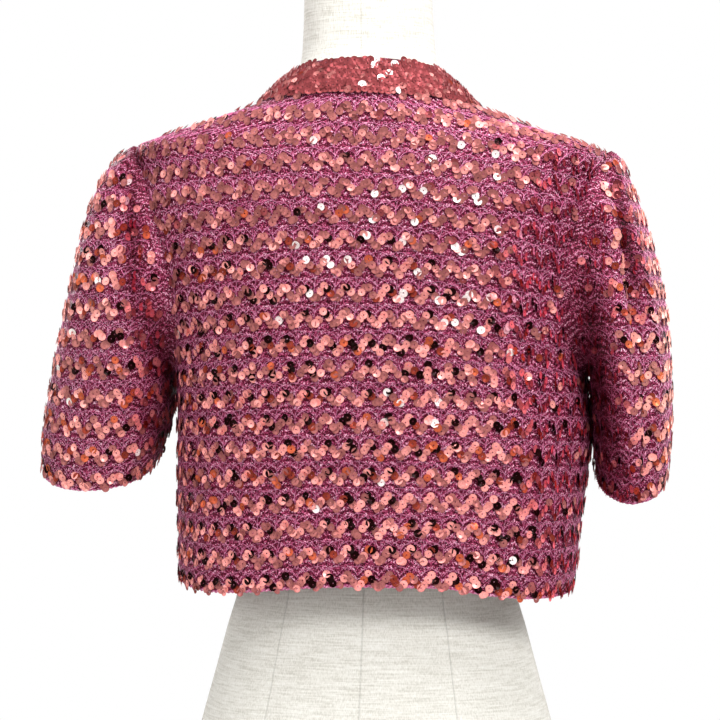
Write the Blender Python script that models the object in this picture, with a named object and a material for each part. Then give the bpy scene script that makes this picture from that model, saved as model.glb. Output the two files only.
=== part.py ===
"""Cropped knitted jacket with short puffed sleeves, worn by a limbless dress form.

Sizes are in millimetres and become metres when a mesh is made.  +Z is up, the wearer faces -Y,
so the back of the jacket faces +Y and the wearer's left is +X.  The form stands on Z = 0.
"""
import bmesh
import bpy
import numpy as np

MM = 0.001
WALL = 2.0
SEAM_GAP = 0.3
SLEEVE_SEAM_GAP = 0.4
SLEEVE_BEND_ROOM = 1.3

UNDERARM = 374.0
SHOULDER_TIP = 563.0
BAND_AT_SHOULDER = 597.5
NECK_AT_SHOULDER = 628.5
NAPE_LOW, NAPE_HIGH = 603.0, 634.0
ARMHOLE_BACK, ARMHOLE_FRONT = 60.0, 56.0

SECTION_ROUNDNESS = 2.3
SHOULDER_LIFT = 0.6

HALF_COLUMNS = 12
SIDE_ROWS = 6
ARMHOLE_ROWS = 12
YOKE_ROWS = 5
FRONT_COLUMNS = 7
BAND_COLUMNS = 4
FORM_COLUMNS = 36

FORM_SECTION_COLUMNS = ("height", "half_width", "back", "front")
FORM_SECTIONS = (
    (0.0, 158.0, 118.0, 112.0),
    (45.0, 156.0, 118.0, 112.0),
    (91.0, 145.0, 110.0, 107.0),
    (135.0, 133.0, 97.0, 100.0),
    (174.0, 122.5, 85.0, 94.0),
    (200.0, 115.0, 77.5, 91.0),
    (235.0, 111.0, 72.0, 89.0),
    (275.0, 115.0, 74.0, 94.0),
    (325.0, 127.0, 82.0, 108.0),
    (374.0, 139.0, 90.0, 123.0),
    (400.0, 143.0, 93.0, 125.0),
    (440.0, 150.0, 96.0, 118.0),
    (480.0, 161.0, 97.0, 107.0),
    (520.0, 172.0, 95.0, 96.0),
    (542.0, 182.0, 91.0, 88.0),
    (554.0, 184.0, 88.0, 84.0),
    (563.0, 181.0, 85.0, 81.0),
    (568.5, 174.2, 83.5, 79.0),
    (578.5, 143.3, 80.0, 75.0),
    (593.0, 102.9, 75.0, 70.0),
    (597.0, 91.7, 72.5, 68.0),
    (605.5, 82.0, 68.5, 65.0),
    (614.5, 73.5, 62.0, 62.0),
    (628.0, 58.0, 53.5, 59.0),
    (645.0, 55.0, 48.0, 58.0),
    (690.0, 52.8, 46.0, 58.0),
    (718.0, 52.5, 46.0, 58.0),
    (722.5, 50.5, 44.0, 56.0),
    (724.0, 47.0, 40.5, 52.5),
)

EASE_COLUMNS = ("height", "left", "right", "back", "front")
EASE_SECTIONS = (
    (190.0, 42.0, 40.0, 28.0, 33.0),
    (232.0, 51.0, 53.0, 35.0, 36.0),
    (274.0, 48.0, 54.0, 31.0, 31.0),
    (324.0, 36.0, 48.5, 23.0, 20.0),
    (374.0, 25.0, 33.5, 13.0, 4.0),
    (400.0, 24.0, 28.0, 9.0, 2.0),
    (440.0, 30.0, 30.0, 5.0, 1.2),
    (480.0, 31.0, 31.0, 2.5, 0.8),
    (520.0, 25.0, 25.0, 1.2, 0.6),
    (542.0, 12.0, 12.0, 0.8, 0.6),
    (563.0, 12.0, 12.0, 0.6, 0.6),
    (570.5, 0.4, 0.4, 0.5, 1.2),
    (584.0, 0.5, 0.5, 0.6, 2.2),
    (612.0, 1.0, 1.0, 0.8, 3.4),
    (730.0, 1.0, 1.0, 0.8, 3.4),
)

HEM_COLUMNS = ("angle", "height")
HEM_LINE = (
    (-180.0, 204.0),
    (-90.0, 202.0),
    (-60.0, 201.0),
    (-40.0, 205.0),
    (-22.0, 212.0),
    (0.0, 212.5),
    (50.0, 204.0),
    (90.0, 210.0),
    (180.0, 204.0),
)

FRONT_BAND_COLUMNS = ("inner_out", "inner_height", "outer_out", "outer_height")
FRONT_BAND_PATH = (
    (57.8, 628.5, 92.0, 597.5),
    (57.5, 622.0, 91.5, 591.0),
    (56.0, 606.0, 90.0, 578.0),
    (53.0, 586.0, 87.0, 562.0),
    (47.0, 561.0, 82.0, 542.0),
    (38.0, 525.0, 76.0, 513.0),
    (29.0, 480.0, 69.0, 474.0),
    (25.0, 430.0, 66.0, 428.0),
    (25.0, 205.0, 66.0, 205.0),
)

SLEEVE_COLUMNS = ("outer_out", "outer_height", "inner_out", "inner_height", "forward", "half_depth")
LEFT_SLEEVE_RINGS = (
    (201.0, 563.0, 169.0, 378.5, 0.0, 61.0),
    (212.0, 555.0, 172.0, 374.0, -1.0, 64.0),
    (226.5, 537.0, 172.5, 365.0, -2.0, 66.0),
    (241.0, 506.0, 173.5, 355.0, -4.0, 66.0),
    (253.5, 465.0, 176.0, 343.0, -7.0, 64.0),
    (266.5, 420.0, 180.0, 331.0, -11.0, 61.0),
    (279.0, 368.0, 185.0, 318.0, -15.0, 57.0),
    (286.0, 328.0, 189.5, 308.0, -18.0, 53.0),
    (287.0, 301.0, 194.0, 301.0, -20.0, 50.0),
)
RIGHT_SLEEVE_RINGS = (
    (199.0, 563.5, 178.0, 380.5, 0.0, 61.0),
    (205.5, 556.0, 181.0, 376.0, -1.0, 64.0),
    (213.5, 536.0, 181.5, 365.0, -2.0, 66.0),
    (223.5, 508.0, 181.5, 354.0, -4.0, 67.0),
    (234.0, 465.0, 181.5, 342.0, -6.0, 67.0),
    (240.5, 415.0, 181.5, 330.0, -9.0, 65.0),
    (242.0, 364.0, 181.5, 318.0, -12.0, 62.0),
    (240.5, 323.0, 181.5, 307.0, -15.0, 60.0),
    (238.0, 296.0, 182.0, 299.0, -16.0, 58.0),
)
CUFF_DROP_AT_BACK = 0.38
ARMHOLE_FADE_ROWS = 4.5
SLEEVE_PLACES = (0.0, 1.0, 1.5, 2.0, 3.0, 4.0, 5.0, 6.0, 7.0, 8.0)

GATHERS = 12
GATHER_HEIGHT = 2.0
GATHER_HALF_TURN = 1.9
GATHER_EDGE = 0.7
GATHER_START, GATHER_END = 1.5, 4.0
LEFT_FOLD_DEPTH, RIGHT_FOLD_DEPTH = 2.0, 5.0
FOLD_TOP_TURN, FOLD_DRIFT, FOLD_HALF_WIDTH = 74.0, -2.0, 13.0
FOLD_RIDGE_SHARE, FOLD_RIDGE_AWAY = 0.6, 1.7
FOLD_START, FOLD_FADE = 2.0, 3.0

LEAN_COLUMNS = ("height", "to_left")
LEAN = (
    (0.0, 0.0),
    (300.0, 0.0),
    (420.0, 1.5),
    (568.0, 5.0),
    (724.0, 7.5),
)
SHOULDER_TILT = 0.024
TILT_STARTS, TILT_FULL, TILT_FADES, TILT_ENDS = 380.0, 540.0, 600.0, 665.0

FRONT_TOP_DROP = 0.5
SMALL_TURN, SMALL_CLIMB = 0.02, 0.6
MOST_BEND_COSINE = -0.2
FORM_ROW_STEP = 24.0
SHARP_ANGLE = 0.9

KNIT_COLOUR = (0.55, 0.16, 0.30)
BAND_COLOUR = (0.50, 0.17, 0.16)
LINEN_COLOUR = (0.80, 0.78, 0.73)
CLOTH_METALLIC, CLOTH_ROUGHNESS = 0.4, 0.45
LINEN_ROUGHNESS = 0.9


def column(table, names, name):
    """One named column of a table as an array."""
    return np.array([row[names.index(name)] for row in table], float)


def follow(knots, values, at):
    """Smooth curve through a table's rows that never overshoots them."""
    step = np.diff(knots)
    rise = np.diff(values) / step
    slope = np.zeros(len(knots))
    same_way = rise[:-1] * rise[1:] > 0
    both = np.where(same_way, rise[:-1] + rise[1:], 1.0)
    slope[1:-1] = np.where(same_way, 2 * rise[:-1] * rise[1:] / both, 0.0)
    slope[0] = rise[0]
    slope[-1] = rise[-1]
    at = np.clip(np.asarray(at, float), knots[0], knots[-1])
    row = np.clip(np.searchsorted(knots, at) - 1, 0, len(step) - 1)
    t = (at - knots[row]) / step[row]
    start = values[row] * (1 + 2 * t) * (1 - t) ** 2 + slope[row] * step[row] * t * (1 - t) ** 2
    end = values[row + 1] * t * t * (3 - 2 * t) + slope[row + 1] * step[row] * t * t * (t - 1)
    return start + end


def form_size(name, height):
    heights = column(FORM_SECTIONS, FORM_SECTION_COLUMNS, "height")
    return follow(heights, column(FORM_SECTIONS, FORM_SECTION_COLUMNS, name), height)


def ease(name, height):
    heights = column(EASE_SECTIONS, EASE_COLUMNS, "height")
    return follow(heights, column(EASE_SECTIONS, EASE_COLUMNS, name), height)


def section_point(angle, half_width, back, front):
    """Point on a rounded section; angle 0 is the centre back and 90 degrees the wearer's left."""
    sine = np.sin(angle)
    across = half_width * sine
    depth = np.where(np.cos(angle) >= 0, back, -front)
    rest = np.clip(1 - np.abs(sine) ** SECTION_ROUNDNESS, 0, 1)
    return across, depth * rest ** (1 / SECTION_ROUNDNESS)


def jacket_half_width(side, height):
    sideways = np.where(np.asarray(side) >= 0, ease("left", height), ease("right", height))
    return form_size("half_width", height - SHOULDER_LIFT) + sideways


def jacket_depth(face, height):
    name = "back" if face > 0 else "front"
    return form_size(name, height - SHOULDER_LIFT) + ease(name, height)


def jacket_point(angle, height):
    """Inside of the jacket's body at an angle round it, in radians, and a height."""
    angle, height = np.broadcast_arrays(np.asarray(angle, float), np.asarray(height, float))
    half_width = jacket_half_width(np.sin(angle), height)
    across, along = section_point(angle, half_width, jacket_depth(1, height), jacket_depth(-1, height))
    return np.stack([across, along, height], axis=-1)


def jacket_outward(angle, height):
    """Unit vectors square to the jacket's body, pointing out."""
    round_it = jacket_point(angle + SMALL_TURN, height) - jacket_point(angle - SMALL_TURN, height)
    up_it = jacket_point(angle, height + SMALL_CLIMB) - jacket_point(angle, height - SMALL_CLIMB)
    outward = np.cross(up_it, round_it)
    return outward / np.linalg.norm(outward, axis=-1, keepdims=True)


def armhole_angle(height, side, face):
    """Angle of the armhole's edge: an ellipse in the side view."""
    middle = (UNDERARM + SHOULDER_TIP) / 2
    half_height = (SHOULDER_TIP - UNDERARM) / 2
    rise = np.clip((height - middle) / half_height, -1, 1)
    reach = (ARMHOLE_BACK if face > 0 else ARMHOLE_FRONT) * np.sqrt(1 - rise ** 2)
    fraction = (1 - (reach / jacket_depth(face, height)) ** SECTION_ROUNDNESS) ** (1 / SECTION_ROUNDNESS)
    from_middle = np.arcsin(np.clip(fraction, 0, 1))
    return side * (from_middle if face > 0 else np.pi - from_middle)


def hem_height(angle):
    degrees = np.degrees((angle + np.pi) % (2 * np.pi) - np.pi)
    return follow(column(HEM_LINE, HEM_COLUMNS, "angle"), column(HEM_LINE, HEM_COLUMNS, "height"), degrees)


def armhole_heights():
    """Heights of the armhole's points, evenly turned round it from the underarm to the tip."""
    turn = np.linspace(np.pi, 0, ARMHOLE_ROWS + 1)
    return (UNDERARM + SHOULDER_TIP) / 2 + (SHOULDER_TIP - UNDERARM) / 2 * np.cos(turn)


def row_heights(top):
    """Heights of a panel's rows above its hem rows: the armhole's, then the yoke's."""
    yoke = top - (top - SHOULDER_TIP) * np.linspace(1, 0, YOKE_ROWS + 1)[1:] ** 2
    return np.concatenate([armhole_heights(), yoke])


def edge_angle(height, side, face):
    """Angle where a panel ends: side seam, armhole, then the shoulder seam."""
    in_armhole = (height > UNDERARM) & (height < SHOULDER_TIP)
    return np.where(in_armhole, armhole_angle(height, side, face), side * np.pi / 2)


def neck_low(angle):
    """Height of the neckband's lower edge across the back."""
    return NAPE_LOW - (NAPE_LOW - BAND_AT_SHOULDER) * np.sin(angle) ** 2


def neck_high(angle):
    return NAPE_HIGH - (NAPE_HIGH - NECK_AT_SHOULDER) * np.sin(angle) ** 2


def back_panel_grid():
    """Angles and heights of the back panel, hem row first."""
    share = np.linspace(-1, 1, 2 * HALF_COLUMNS + 1)
    side = np.where(share >= 0, 1.0, -1.0)
    hem_angle = share * np.pi / 2
    rows = []
    for part in np.linspace(0, 1, SIDE_ROWS + 1)[:-1]:
        rows.append((hem_angle, hem_height(hem_angle) + part * (UNDERARM - hem_height(hem_angle))))
    heights = row_heights(BAND_AT_SHOULDER)
    for height in heights:
        ending = np.abs(edge_angle(height, side, 1))
        angle = share * ending
        lift = np.clip((height - SHOULDER_TIP) / (heights[-1] - SHOULDER_TIP), 0, 1)
        rows.append((angle, height + lift * (neck_low(angle) - BAND_AT_SHOULDER)))
    return np.array([row[0] for row in rows]), np.array([row[1] for row in rows])


def front_angle(across, height, side):
    """Angle on the front of the body of a distance out from its middle."""
    fraction = np.clip(across / jacket_half_width(side, height), 0, 1)
    return side * (np.pi - np.arcsin(fraction))


def band_path(name, outer_height):
    """A column of the front band's path, found by the height of its outer edge."""
    heights = column(FRONT_BAND_PATH, FRONT_BAND_COLUMNS, "outer_height")[::-1]
    return follow(heights, column(FRONT_BAND_PATH, FRONT_BAND_COLUMNS, name)[::-1], outer_height)


def front_edge_angle(height, side):
    """Angle where a front panel meets its band."""
    return front_angle(band_path("outer_out", height), height, side)


def front_panel_grid(side):
    """Angles and heights of a front panel, from its band to its side."""
    share = np.linspace(0, 1, FRONT_COLUMNS + 1)
    start = front_edge_angle(hem_height(side * np.pi), side)
    hem = hem_height(start + share * (side * np.pi / 2 - start))
    rows = []
    for part in np.linspace(0, 1, SIDE_ROWS + 1)[:-1]:
        height = hem + part * (UNDERARM - hem)
        begin = front_edge_angle(height[0], side)
        rows.append((begin + share * (side * np.pi / 2 - begin), height))
    for height in row_heights(BAND_AT_SHOULDER - FRONT_TOP_DROP):
        begin = front_edge_angle(height, side)
        ending = edge_angle(height, side, -1)
        rows.append((begin + share * (ending - begin), np.full(len(share), height)))
    return np.array([row[0] for row in rows]), np.array([row[1] for row in rows])


def front_band_grid(side):
    """Angles and heights of a front band: its outer edge has the front panel's own rows."""
    angles, heights = front_panel_grid(side)
    outer_height = np.append(heights[:, 0], BAND_AT_SHOULDER)
    outer_angle = np.append(angles[:, 0], side * np.pi / 2)
    inner_height = band_path("inner_height", outer_height)
    inner_height[0] = outer_height[0]
    inner_angle = front_angle(band_path("inner_out", outer_height), inner_height, side)
    inner_angle[-1] = side * np.pi / 2
    share = np.linspace(0, 1, BAND_COLUMNS + 1)[None]
    inner_sine, outer_sine = np.abs(np.sin(inner_angle))[:, None], np.abs(np.sin(outer_angle))[:, None]
    sine = inner_sine + share * (outer_sine - inner_sine)
    height = inner_height[:, None] + share * (outer_height - inner_height)[:, None]
    return side * (np.pi - np.arcsin(np.clip(sine, 0, 1))), height


def back_band_grid():
    angle = np.linspace(-np.pi / 2, np.pi / 2, 2 * HALF_COLUMNS + 1)
    share = np.linspace(0, 1, BAND_COLUMNS + 1)[:, None]
    low, high = neck_low(angle)[None], neck_high(angle)[None]
    return np.repeat(angle[None], len(share), axis=0), low + share * (high - low)


def trimmed(points):
    """A grid whose four edges are drawn in by half the seam gap."""
    points = points.copy()
    for axis in (0, 1):
        grid = np.moveaxis(points, axis, 0)
        for edge, beside in ((0, 1), (-1, -2)):
            inward = grid[beside] - grid[edge]
            length = np.linalg.norm(inward, axis=-1, keepdims=True)
            grid[edge] += inward / np.maximum(length, SEAM_GAP) * SEAM_GAP / 2
    return points


def smooth_step(value):
    value = np.clip(value, 0, 1)
    return value * value * (3 - 2 * value)


def armhole_rim(side):
    """Middle of the armhole's rim, its outward direction and the way off the panel, tip first."""
    heights = armhole_heights()
    down, up = heights[::-1], heights[1:-1]
    height = np.concatenate([down, up])
    angle = np.concatenate([armhole_angle(down, side, 1), armhole_angle(up, side, -1)])
    outward = jacket_outward(angle, height)
    rim = jacket_point(angle, height) + outward * WALL / 2
    along = np.roll(rim, -1, axis=0) - np.roll(rim, 1, axis=0)
    off_panel = side * np.cross(along, outward)
    off_panel /= np.linalg.norm(off_panel, axis=-1, keepdims=True)
    return twice_as_many(rim), twice_as_many(off_panel)


def twice_as_many(points):
    """A closed ring of points with the middle of each step added."""
    middles = (points + np.roll(points, -1, axis=0)) / 2
    return np.stack([points, middles], axis=1).reshape(-1, 3)


def sleeve_ring(side, outer, inner, forward, half_depth, drop, turn):
    """Ring from the outer side (turn 0) round the back to the inner side and the front."""
    middle = (np.array(outer) + np.array(inner)) / 2
    reach = (np.array(outer) - np.array(inner)) / 2
    out = middle[0] + reach[0] * np.cos(turn)
    height = middle[1] + reach[1] * np.cos(turn) - drop * half_depth * np.sin(turn)
    return np.stack([side * out, forward + half_depth * np.sin(turn), height], axis=-1)


def sleeve_middle(side, table, places):
    """Middle surface of a sleeve: the armhole's rim, then a ring at each place in the table."""
    rim, off_panel = armhole_rim(side)
    turn = np.linspace(0, 2 * np.pi, len(rim), endpoint=False)
    rows = np.arange(len(table))
    last = rows[-1]
    flat_rim = sleeve_ring(side, rim[0, ::2] * (side, 1), rim[len(rim) // 2, ::2] * (side, 1),
                           0.0, ARMHOLE_BACK, 0.0, turn)
    rings = []
    for place in places:
        sizes = {name: follow(rows, column(table, SLEEVE_COLUMNS, name), place) for name in SLEEVE_COLUMNS}
        ring = sleeve_ring(side, (sizes["outer_out"], sizes["outer_height"]),
                           (sizes["inner_out"], sizes["inner_height"]), sizes["forward"],
                           sizes["half_depth"], CUFF_DROP_AT_BACK * smooth_step(place / last), turn)
        ring += (rim - flat_rim) * (1 - smooth_step((place + 1) / ARMHOLE_FADE_ROWS))
        rings.append(ring)
    onward = rings[0] - rim
    onward /= np.linalg.norm(onward, axis=-1, keepdims=True)
    bend = np.arccos(np.clip((onward * off_panel).sum(axis=-1, keepdims=True), MOST_BEND_COSINE, 1))
    start = rim + off_panel * (SLEEVE_SEAM_GAP + SLEEVE_BEND_ROOM * np.tan(bend / 2))
    return np.array([start] + rings), turn


def outward_of_tube(middle, side):
    """Unit vectors square to a tube of rings, pointing out."""
    along = np.gradient(middle, axis=0)
    around = np.roll(middle, -1, axis=1) - np.roll(middle, 1, axis=1)
    outward = side * np.cross(along, around)
    return outward / np.linalg.norm(outward, axis=-1, keepdims=True)


def sleeve_relief(turn, places, fold_depth):
    """Gathers at the cap and one long fold, a trough beside a ridge, down the back of the sleeve."""
    down = np.concatenate([[-1.0], places])[:, None]
    from_top = np.abs(np.angle(np.exp(1j * turn)))
    over_cap = smooth_step((GATHER_HALF_TURN - from_top) / GATHER_EDGE)
    gathers = GATHER_HEIGHT * np.cos(GATHERS * turn) * over_cap
    gathers = gathers * smooth_step((down + 1) / GATHER_START) * smooth_step(1 - down / GATHER_END)
    centre = np.radians(FOLD_TOP_TURN + FOLD_DRIFT * down)
    away = (turn - centre) / np.radians(FOLD_HALF_WIDTH)
    ridge = FOLD_RIDGE_SHARE * np.exp(-(away + FOLD_RIDGE_AWAY) ** 2)
    fold = fold_depth * (ridge - np.exp(-away ** 2))
    fold = fold * smooth_step((down + 1) / FOLD_START) * smooth_step((places[-1] - down) / FOLD_FADE)
    return gathers + fold


def sleeve_walls(side, table, fold_depth):
    """Inside and outside points of a sleeve."""
    middle, turn = sleeve_middle(side, table, SLEEVE_PLACES)
    relief = sleeve_relief(turn, np.array(SLEEVE_PLACES), fold_depth)[..., None]
    middle = middle + outward_of_tube(middle, side) * relief
    outward = outward_of_tube(middle, side)
    return middle - outward * WALL / 2, middle + outward * WALL / 2


def panel_walls(grid):
    """Inside and outside points of a piece of the jacket's body."""
    angle, height = grid
    inside = jacket_point(angle, height)
    outside = inside + jacket_outward(angle, height) * WALL
    return trimmed(inside), trimmed(outside)


def wall_faces(rows, columns, closed):
    """Faces of a wall between two grids of points, with its edges closed."""
    def inside(row, place):
        return row * columns + place % columns

    def outside(row, place):
        return rows * columns + inside(row, place)

    faces = []
    steps = columns if closed else columns - 1
    for row in range(rows - 1):
        for place in range(steps):
            corners = ((row, place), (row, place + 1), (row + 1, place + 1), (row + 1, place))
            faces.append([outside(*corner) for corner in corners])
            faces.append([inside(*corner) for corner in reversed(corners)])
    for place in range(steps):
        for row in (0, rows - 1):
            ends = ((row, place), (row, place + 1))
            faces.append([inside(*ends[0]), inside(*ends[1]), outside(*ends[1]), outside(*ends[0])])
    for row in range(rows - 1):
        for place in () if closed else (0, columns - 1):
            ends = ((row, place), (row + 1, place))
            faces.append([inside(*ends[0]), inside(*ends[1]), outside(*ends[1]), outside(*ends[0])])
    return faces


def as_it_stands(points):
    """Leans the figure a little to its left and lifts its left shoulder above the right."""
    across, along, height = points.T
    lean = follow(column(LEAN, LEAN_COLUMNS, "height"), column(LEAN, LEAN_COLUMNS, "to_left"), height)
    begins = smooth_step((height - TILT_STARTS) / (TILT_FULL - TILT_STARTS))
    ends = smooth_step((TILT_ENDS - height) / (TILT_ENDS - TILT_FADES))
    return np.stack([across + lean, along, height + SHOULDER_TILT * across * begins * ends], axis=-1)


def new_material(name, colour, metallic, roughness):
    material = bpy.data.materials.new(name)
    material.use_nodes = True
    shader = material.node_tree.nodes["Principled BSDF"]
    shader.inputs["Base Color"].default_value = (*colour, 1.0)
    shader.inputs["Metallic"].default_value = metallic
    shader.inputs["Roughness"].default_value = roughness
    return material


def add_solid(name, points, faces, material, collection):
    """A closed, smooth shaded mesh object from points in millimetres."""
    mesh = bpy.data.meshes.new(name)
    mesh.from_pydata((as_it_stands(points) * MM).tolist(), [], faces)
    solid = bmesh.new()
    solid.from_mesh(mesh)
    bmesh.ops.recalc_face_normals(solid, faces=solid.faces)
    solid.to_mesh(mesh)
    solid.free()
    mesh.shade_smooth()
    mesh.set_sharp_from_angle(angle=SHARP_ANGLE)
    mesh.materials.append(material)
    item = bpy.data.objects.new(name, mesh)
    collection.objects.link(item)
    return item


def add_cloth(name, walls, closed, colour, collection):
    inside, outside = walls
    rows, columns = inside.shape[:2]
    points = np.concatenate([inside.reshape(-1, 3), outside.reshape(-1, 3)])
    material = new_material(name + "_cloth", colour, CLOTH_METALLIC, CLOTH_ROUGHNESS)
    return add_solid(name, points, wall_faces(rows, columns, closed), material, collection)


def add_dress_form(collection):
    """One smooth closed body of rounded sections, flat at its foot and at the top of its neck."""
    table_heights = column(FORM_SECTIONS, FORM_SECTION_COLUMNS, "height")
    heights = [table_heights[0]]
    for low, high in zip(table_heights, table_heights[1:]):
        steps = max(1, round((high - low) / FORM_ROW_STEP))
        heights.extend(np.linspace(low, high, steps + 1)[1:])
    turn = np.linspace(0, 2 * np.pi, FORM_COLUMNS, endpoint=False)
    rings = []
    for height in heights:
        sizes = [form_size(name, height) for name in FORM_SECTION_COLUMNS[1:]]
        across, along = section_point(turn, *sizes)
        rings.append(np.stack([across, along, np.full(FORM_COLUMNS, height)], axis=-1))
    faces = [list(range(FORM_COLUMNS))]
    faces.append([(len(rings) - 1) * FORM_COLUMNS + place for place in range(FORM_COLUMNS)])
    for row in range(len(rings) - 1):
        for place in range(FORM_COLUMNS):
            beside = (place + 1) % FORM_COLUMNS
            base, above = row * FORM_COLUMNS, (row + 1) * FORM_COLUMNS
            faces.append([base + place, base + beside, above + beside, above + place])
    linen = new_material("dress_form_linen", LINEN_COLOUR, 0.0, LINEN_ROUGHNESS)
    return add_solid("dress_form", np.concatenate(rings), faces, linen, collection)


def build():
    for item in list(bpy.data.objects):
        bpy.data.objects.remove(item, do_unlink=True)
    collection = bpy.data.collections.new("jacket_on_dress_form")
    bpy.context.scene.collection.children.link(collection)
    add_dress_form(collection)
    add_cloth("back_panel", panel_walls(back_panel_grid()), False, KNIT_COLOUR, collection)
    add_cloth("back_neck_band", panel_walls(back_band_grid()), False, BAND_COLOUR, collection)
    for name, side in (("left", 1), ("right", -1)):
        add_cloth(name + "_front", panel_walls(front_panel_grid(side)), False, KNIT_COLOUR, collection)
        add_cloth(name + "_front_band", panel_walls(front_band_grid(side)), False, BAND_COLOUR, collection)
    left = sleeve_walls(1, LEFT_SLEEVE_RINGS, LEFT_FOLD_DEPTH)
    right = sleeve_walls(-1, RIGHT_SLEEVE_RINGS, RIGHT_FOLD_DEPTH)
    add_cloth("left_sleeve", left, True, KNIT_COLOUR, collection)
    add_cloth("right_sleeve", right, True, KNIT_COLOUR, collection)


build()
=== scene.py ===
"""Looks of a sequinned crochet jacket on a linen dress form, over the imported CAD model.

The surfaces repeat part.py's: sizes are in millimetres and become metres when a mesh is made.
+Z is up, the wearer faces -Y and the wearer's left is +X.
"""

import bmesh
import bpy
import numpy as np
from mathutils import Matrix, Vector


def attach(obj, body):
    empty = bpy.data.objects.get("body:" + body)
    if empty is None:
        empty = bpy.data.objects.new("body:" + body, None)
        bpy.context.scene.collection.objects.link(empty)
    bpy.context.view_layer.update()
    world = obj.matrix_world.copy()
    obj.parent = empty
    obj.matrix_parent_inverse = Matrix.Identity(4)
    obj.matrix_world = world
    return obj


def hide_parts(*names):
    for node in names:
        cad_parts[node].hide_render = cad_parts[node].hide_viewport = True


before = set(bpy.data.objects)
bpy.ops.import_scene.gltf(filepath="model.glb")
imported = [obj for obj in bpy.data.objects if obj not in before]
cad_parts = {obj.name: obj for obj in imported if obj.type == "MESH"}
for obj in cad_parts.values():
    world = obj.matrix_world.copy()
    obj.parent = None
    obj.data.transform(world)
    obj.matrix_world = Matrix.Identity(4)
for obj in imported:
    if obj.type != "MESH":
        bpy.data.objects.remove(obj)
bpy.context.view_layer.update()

# Columns and rows of the cloth and of the form
HALF_COLUMNS = 36
SIDE_ROWS = 22
ARMHOLE_ROWS = 24
YOKE_ROWS = 8
FRONT_COLUMNS = 24
BAND_COLUMNS = 10
SLEEVE_PLACES = np.linspace(0, 8, 49)
FORM_COLUMNS = 144
FORM_ROW_STEP = 8.0

# Driving sizes of the jacket
MM = 0.001
WALL = 2.0
SEAM_GAP = 0.3
SLEEVE_SEAM_GAP = 0.4
SLEEVE_BEND_ROOM = 1.3

UNDERARM = 374.0
SHOULDER_TIP = 563.0
BAND_AT_SHOULDER = 597.5
NECK_AT_SHOULDER = 628.5
NAPE_LOW, NAPE_HIGH = 603.0, 634.0
ARMHOLE_BACK, ARMHOLE_FRONT = 60.0, 56.0

SECTION_ROUNDNESS = 2.3
SHOULDER_LIFT = 0.6

# The form, and how far the jacket stands off it
FORM_SECTION_COLUMNS = ("height", "half_width", "back", "front")
FORM_SECTIONS = (
    (0, 158, 118, 112),
    (45, 156, 118, 112),
    (91, 145, 110, 107),
    (135, 133, 97, 100),
    (174, 122.5, 85, 94),
    (200, 115, 77.5, 91),
    (235, 111, 72, 89),
    (275, 115, 74, 94),
    (325, 127, 82, 108),
    (374, 139, 90, 123),
    (400, 143, 93, 125),
    (440, 150, 96, 118),
    (480, 161, 97, 107),
    (520, 172, 95, 96),
    (542, 182, 91, 88),
    (554, 184, 88, 84),
    (563, 181, 85, 81),
    (568.5, 174.2, 83.5, 79),
    (578.5, 143.3, 80, 75),
    (593, 102.9, 75, 70),
    (597, 91.7, 72.5, 68),
    (605.5, 82, 68.5, 65),
    (614.5, 73.5, 62, 62),
    (628, 58, 53.5, 59),
    (645, 55, 48, 58),
    (690, 52.8, 46, 58),
    (718, 52.5, 46, 58),
    (722.5, 50.5, 44, 56),
    (724, 47, 40.5, 52.5),
)

EASE_COLUMNS = ("height", "left", "right", "back", "front")
EASE_SECTIONS = (
    (190, 42, 40, 28, 33),
    (232, 51, 53, 35, 36),
    (274, 48, 54, 31, 31),
    (324, 36, 48.5, 23, 20),
    (374, 25, 33.5, 13, 4),
    (400, 24, 28, 9, 2),
    (440, 30, 30, 5, 1.2),
    (480, 31, 31, 2.5, 0.8),
    (520, 25, 25, 1.2, 0.6),
    (542, 12, 12, 0.8, 0.6),
    (563, 12, 12, 0.6, 0.6),
    (570.5, 0.4, 0.4, 0.5, 1.2),
    (584, 0.5, 0.5, 0.6, 2.2),
    (612, 1, 1, 0.8, 3.4),
    (730, 1, 1, 0.8, 3.4),
)

# Edges of the body: the hem round the body and the front bands
HEM_COLUMNS = ("angle", "height")
HEM_LINE = (
    (-180, 204),
    (-90, 202),
    (-60, 201),
    (-40, 205),
    (-22, 212),
    (0, 212.5),
    (50, 204),
    (90, 210),
    (180, 204),
)

FRONT_BAND_COLUMNS = ("inner_out", "inner_height", "outer_out", "outer_height")
FRONT_BAND_PATH = (
    (57.8, 628.5, 92, 597.5),
    (57.5, 622, 91.5, 591),
    (56, 606, 90, 578),
    (53, 586, 87, 562),
    (47, 561, 82, 542),
    (38, 525, 76, 513),
    (29, 480, 69, 474),
    (25, 430, 66, 428),
    (25, 205, 66, 205),
)

# The sleeves, ring by ring from the cap to the cuff, with their gathers and folds
SLEEVE_COLUMNS = ("outer_out", "outer_height", "inner_out", "inner_height", "forward", "half_depth")
LEFT_SLEEVE_RINGS = (
    (201, 563, 169, 378.5, 0, 61),
    (212, 555, 172, 374, -1, 64),
    (226.5, 537, 172.5, 365, -2, 66),
    (241, 506, 173.5, 355, -4, 66),
    (253.5, 465, 176, 343, -7, 64),
    (266.5, 420, 180, 331, -11, 61),
    (279, 368, 185, 318, -15, 57),
    (286, 328, 189.5, 308, -18, 53),
    (287, 301, 194, 301, -20, 50),
)
RIGHT_SLEEVE_RINGS = (
    (199, 563.5, 178, 380.5, 0, 61),
    (205.5, 556, 181, 376, -1, 64),
    (213.5, 536, 181.5, 365, -2, 66),
    (223.5, 508, 181.5, 354, -4, 67),
    (234, 465, 181.5, 342, -6, 67),
    (240.5, 415, 181.5, 330, -9, 65),
    (242, 364, 181.5, 318, -12, 62),
    (240.5, 323, 181.5, 307, -15, 60),
    (238, 296, 182, 299, -16, 58),
)
RIM_PLACE = -1
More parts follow.
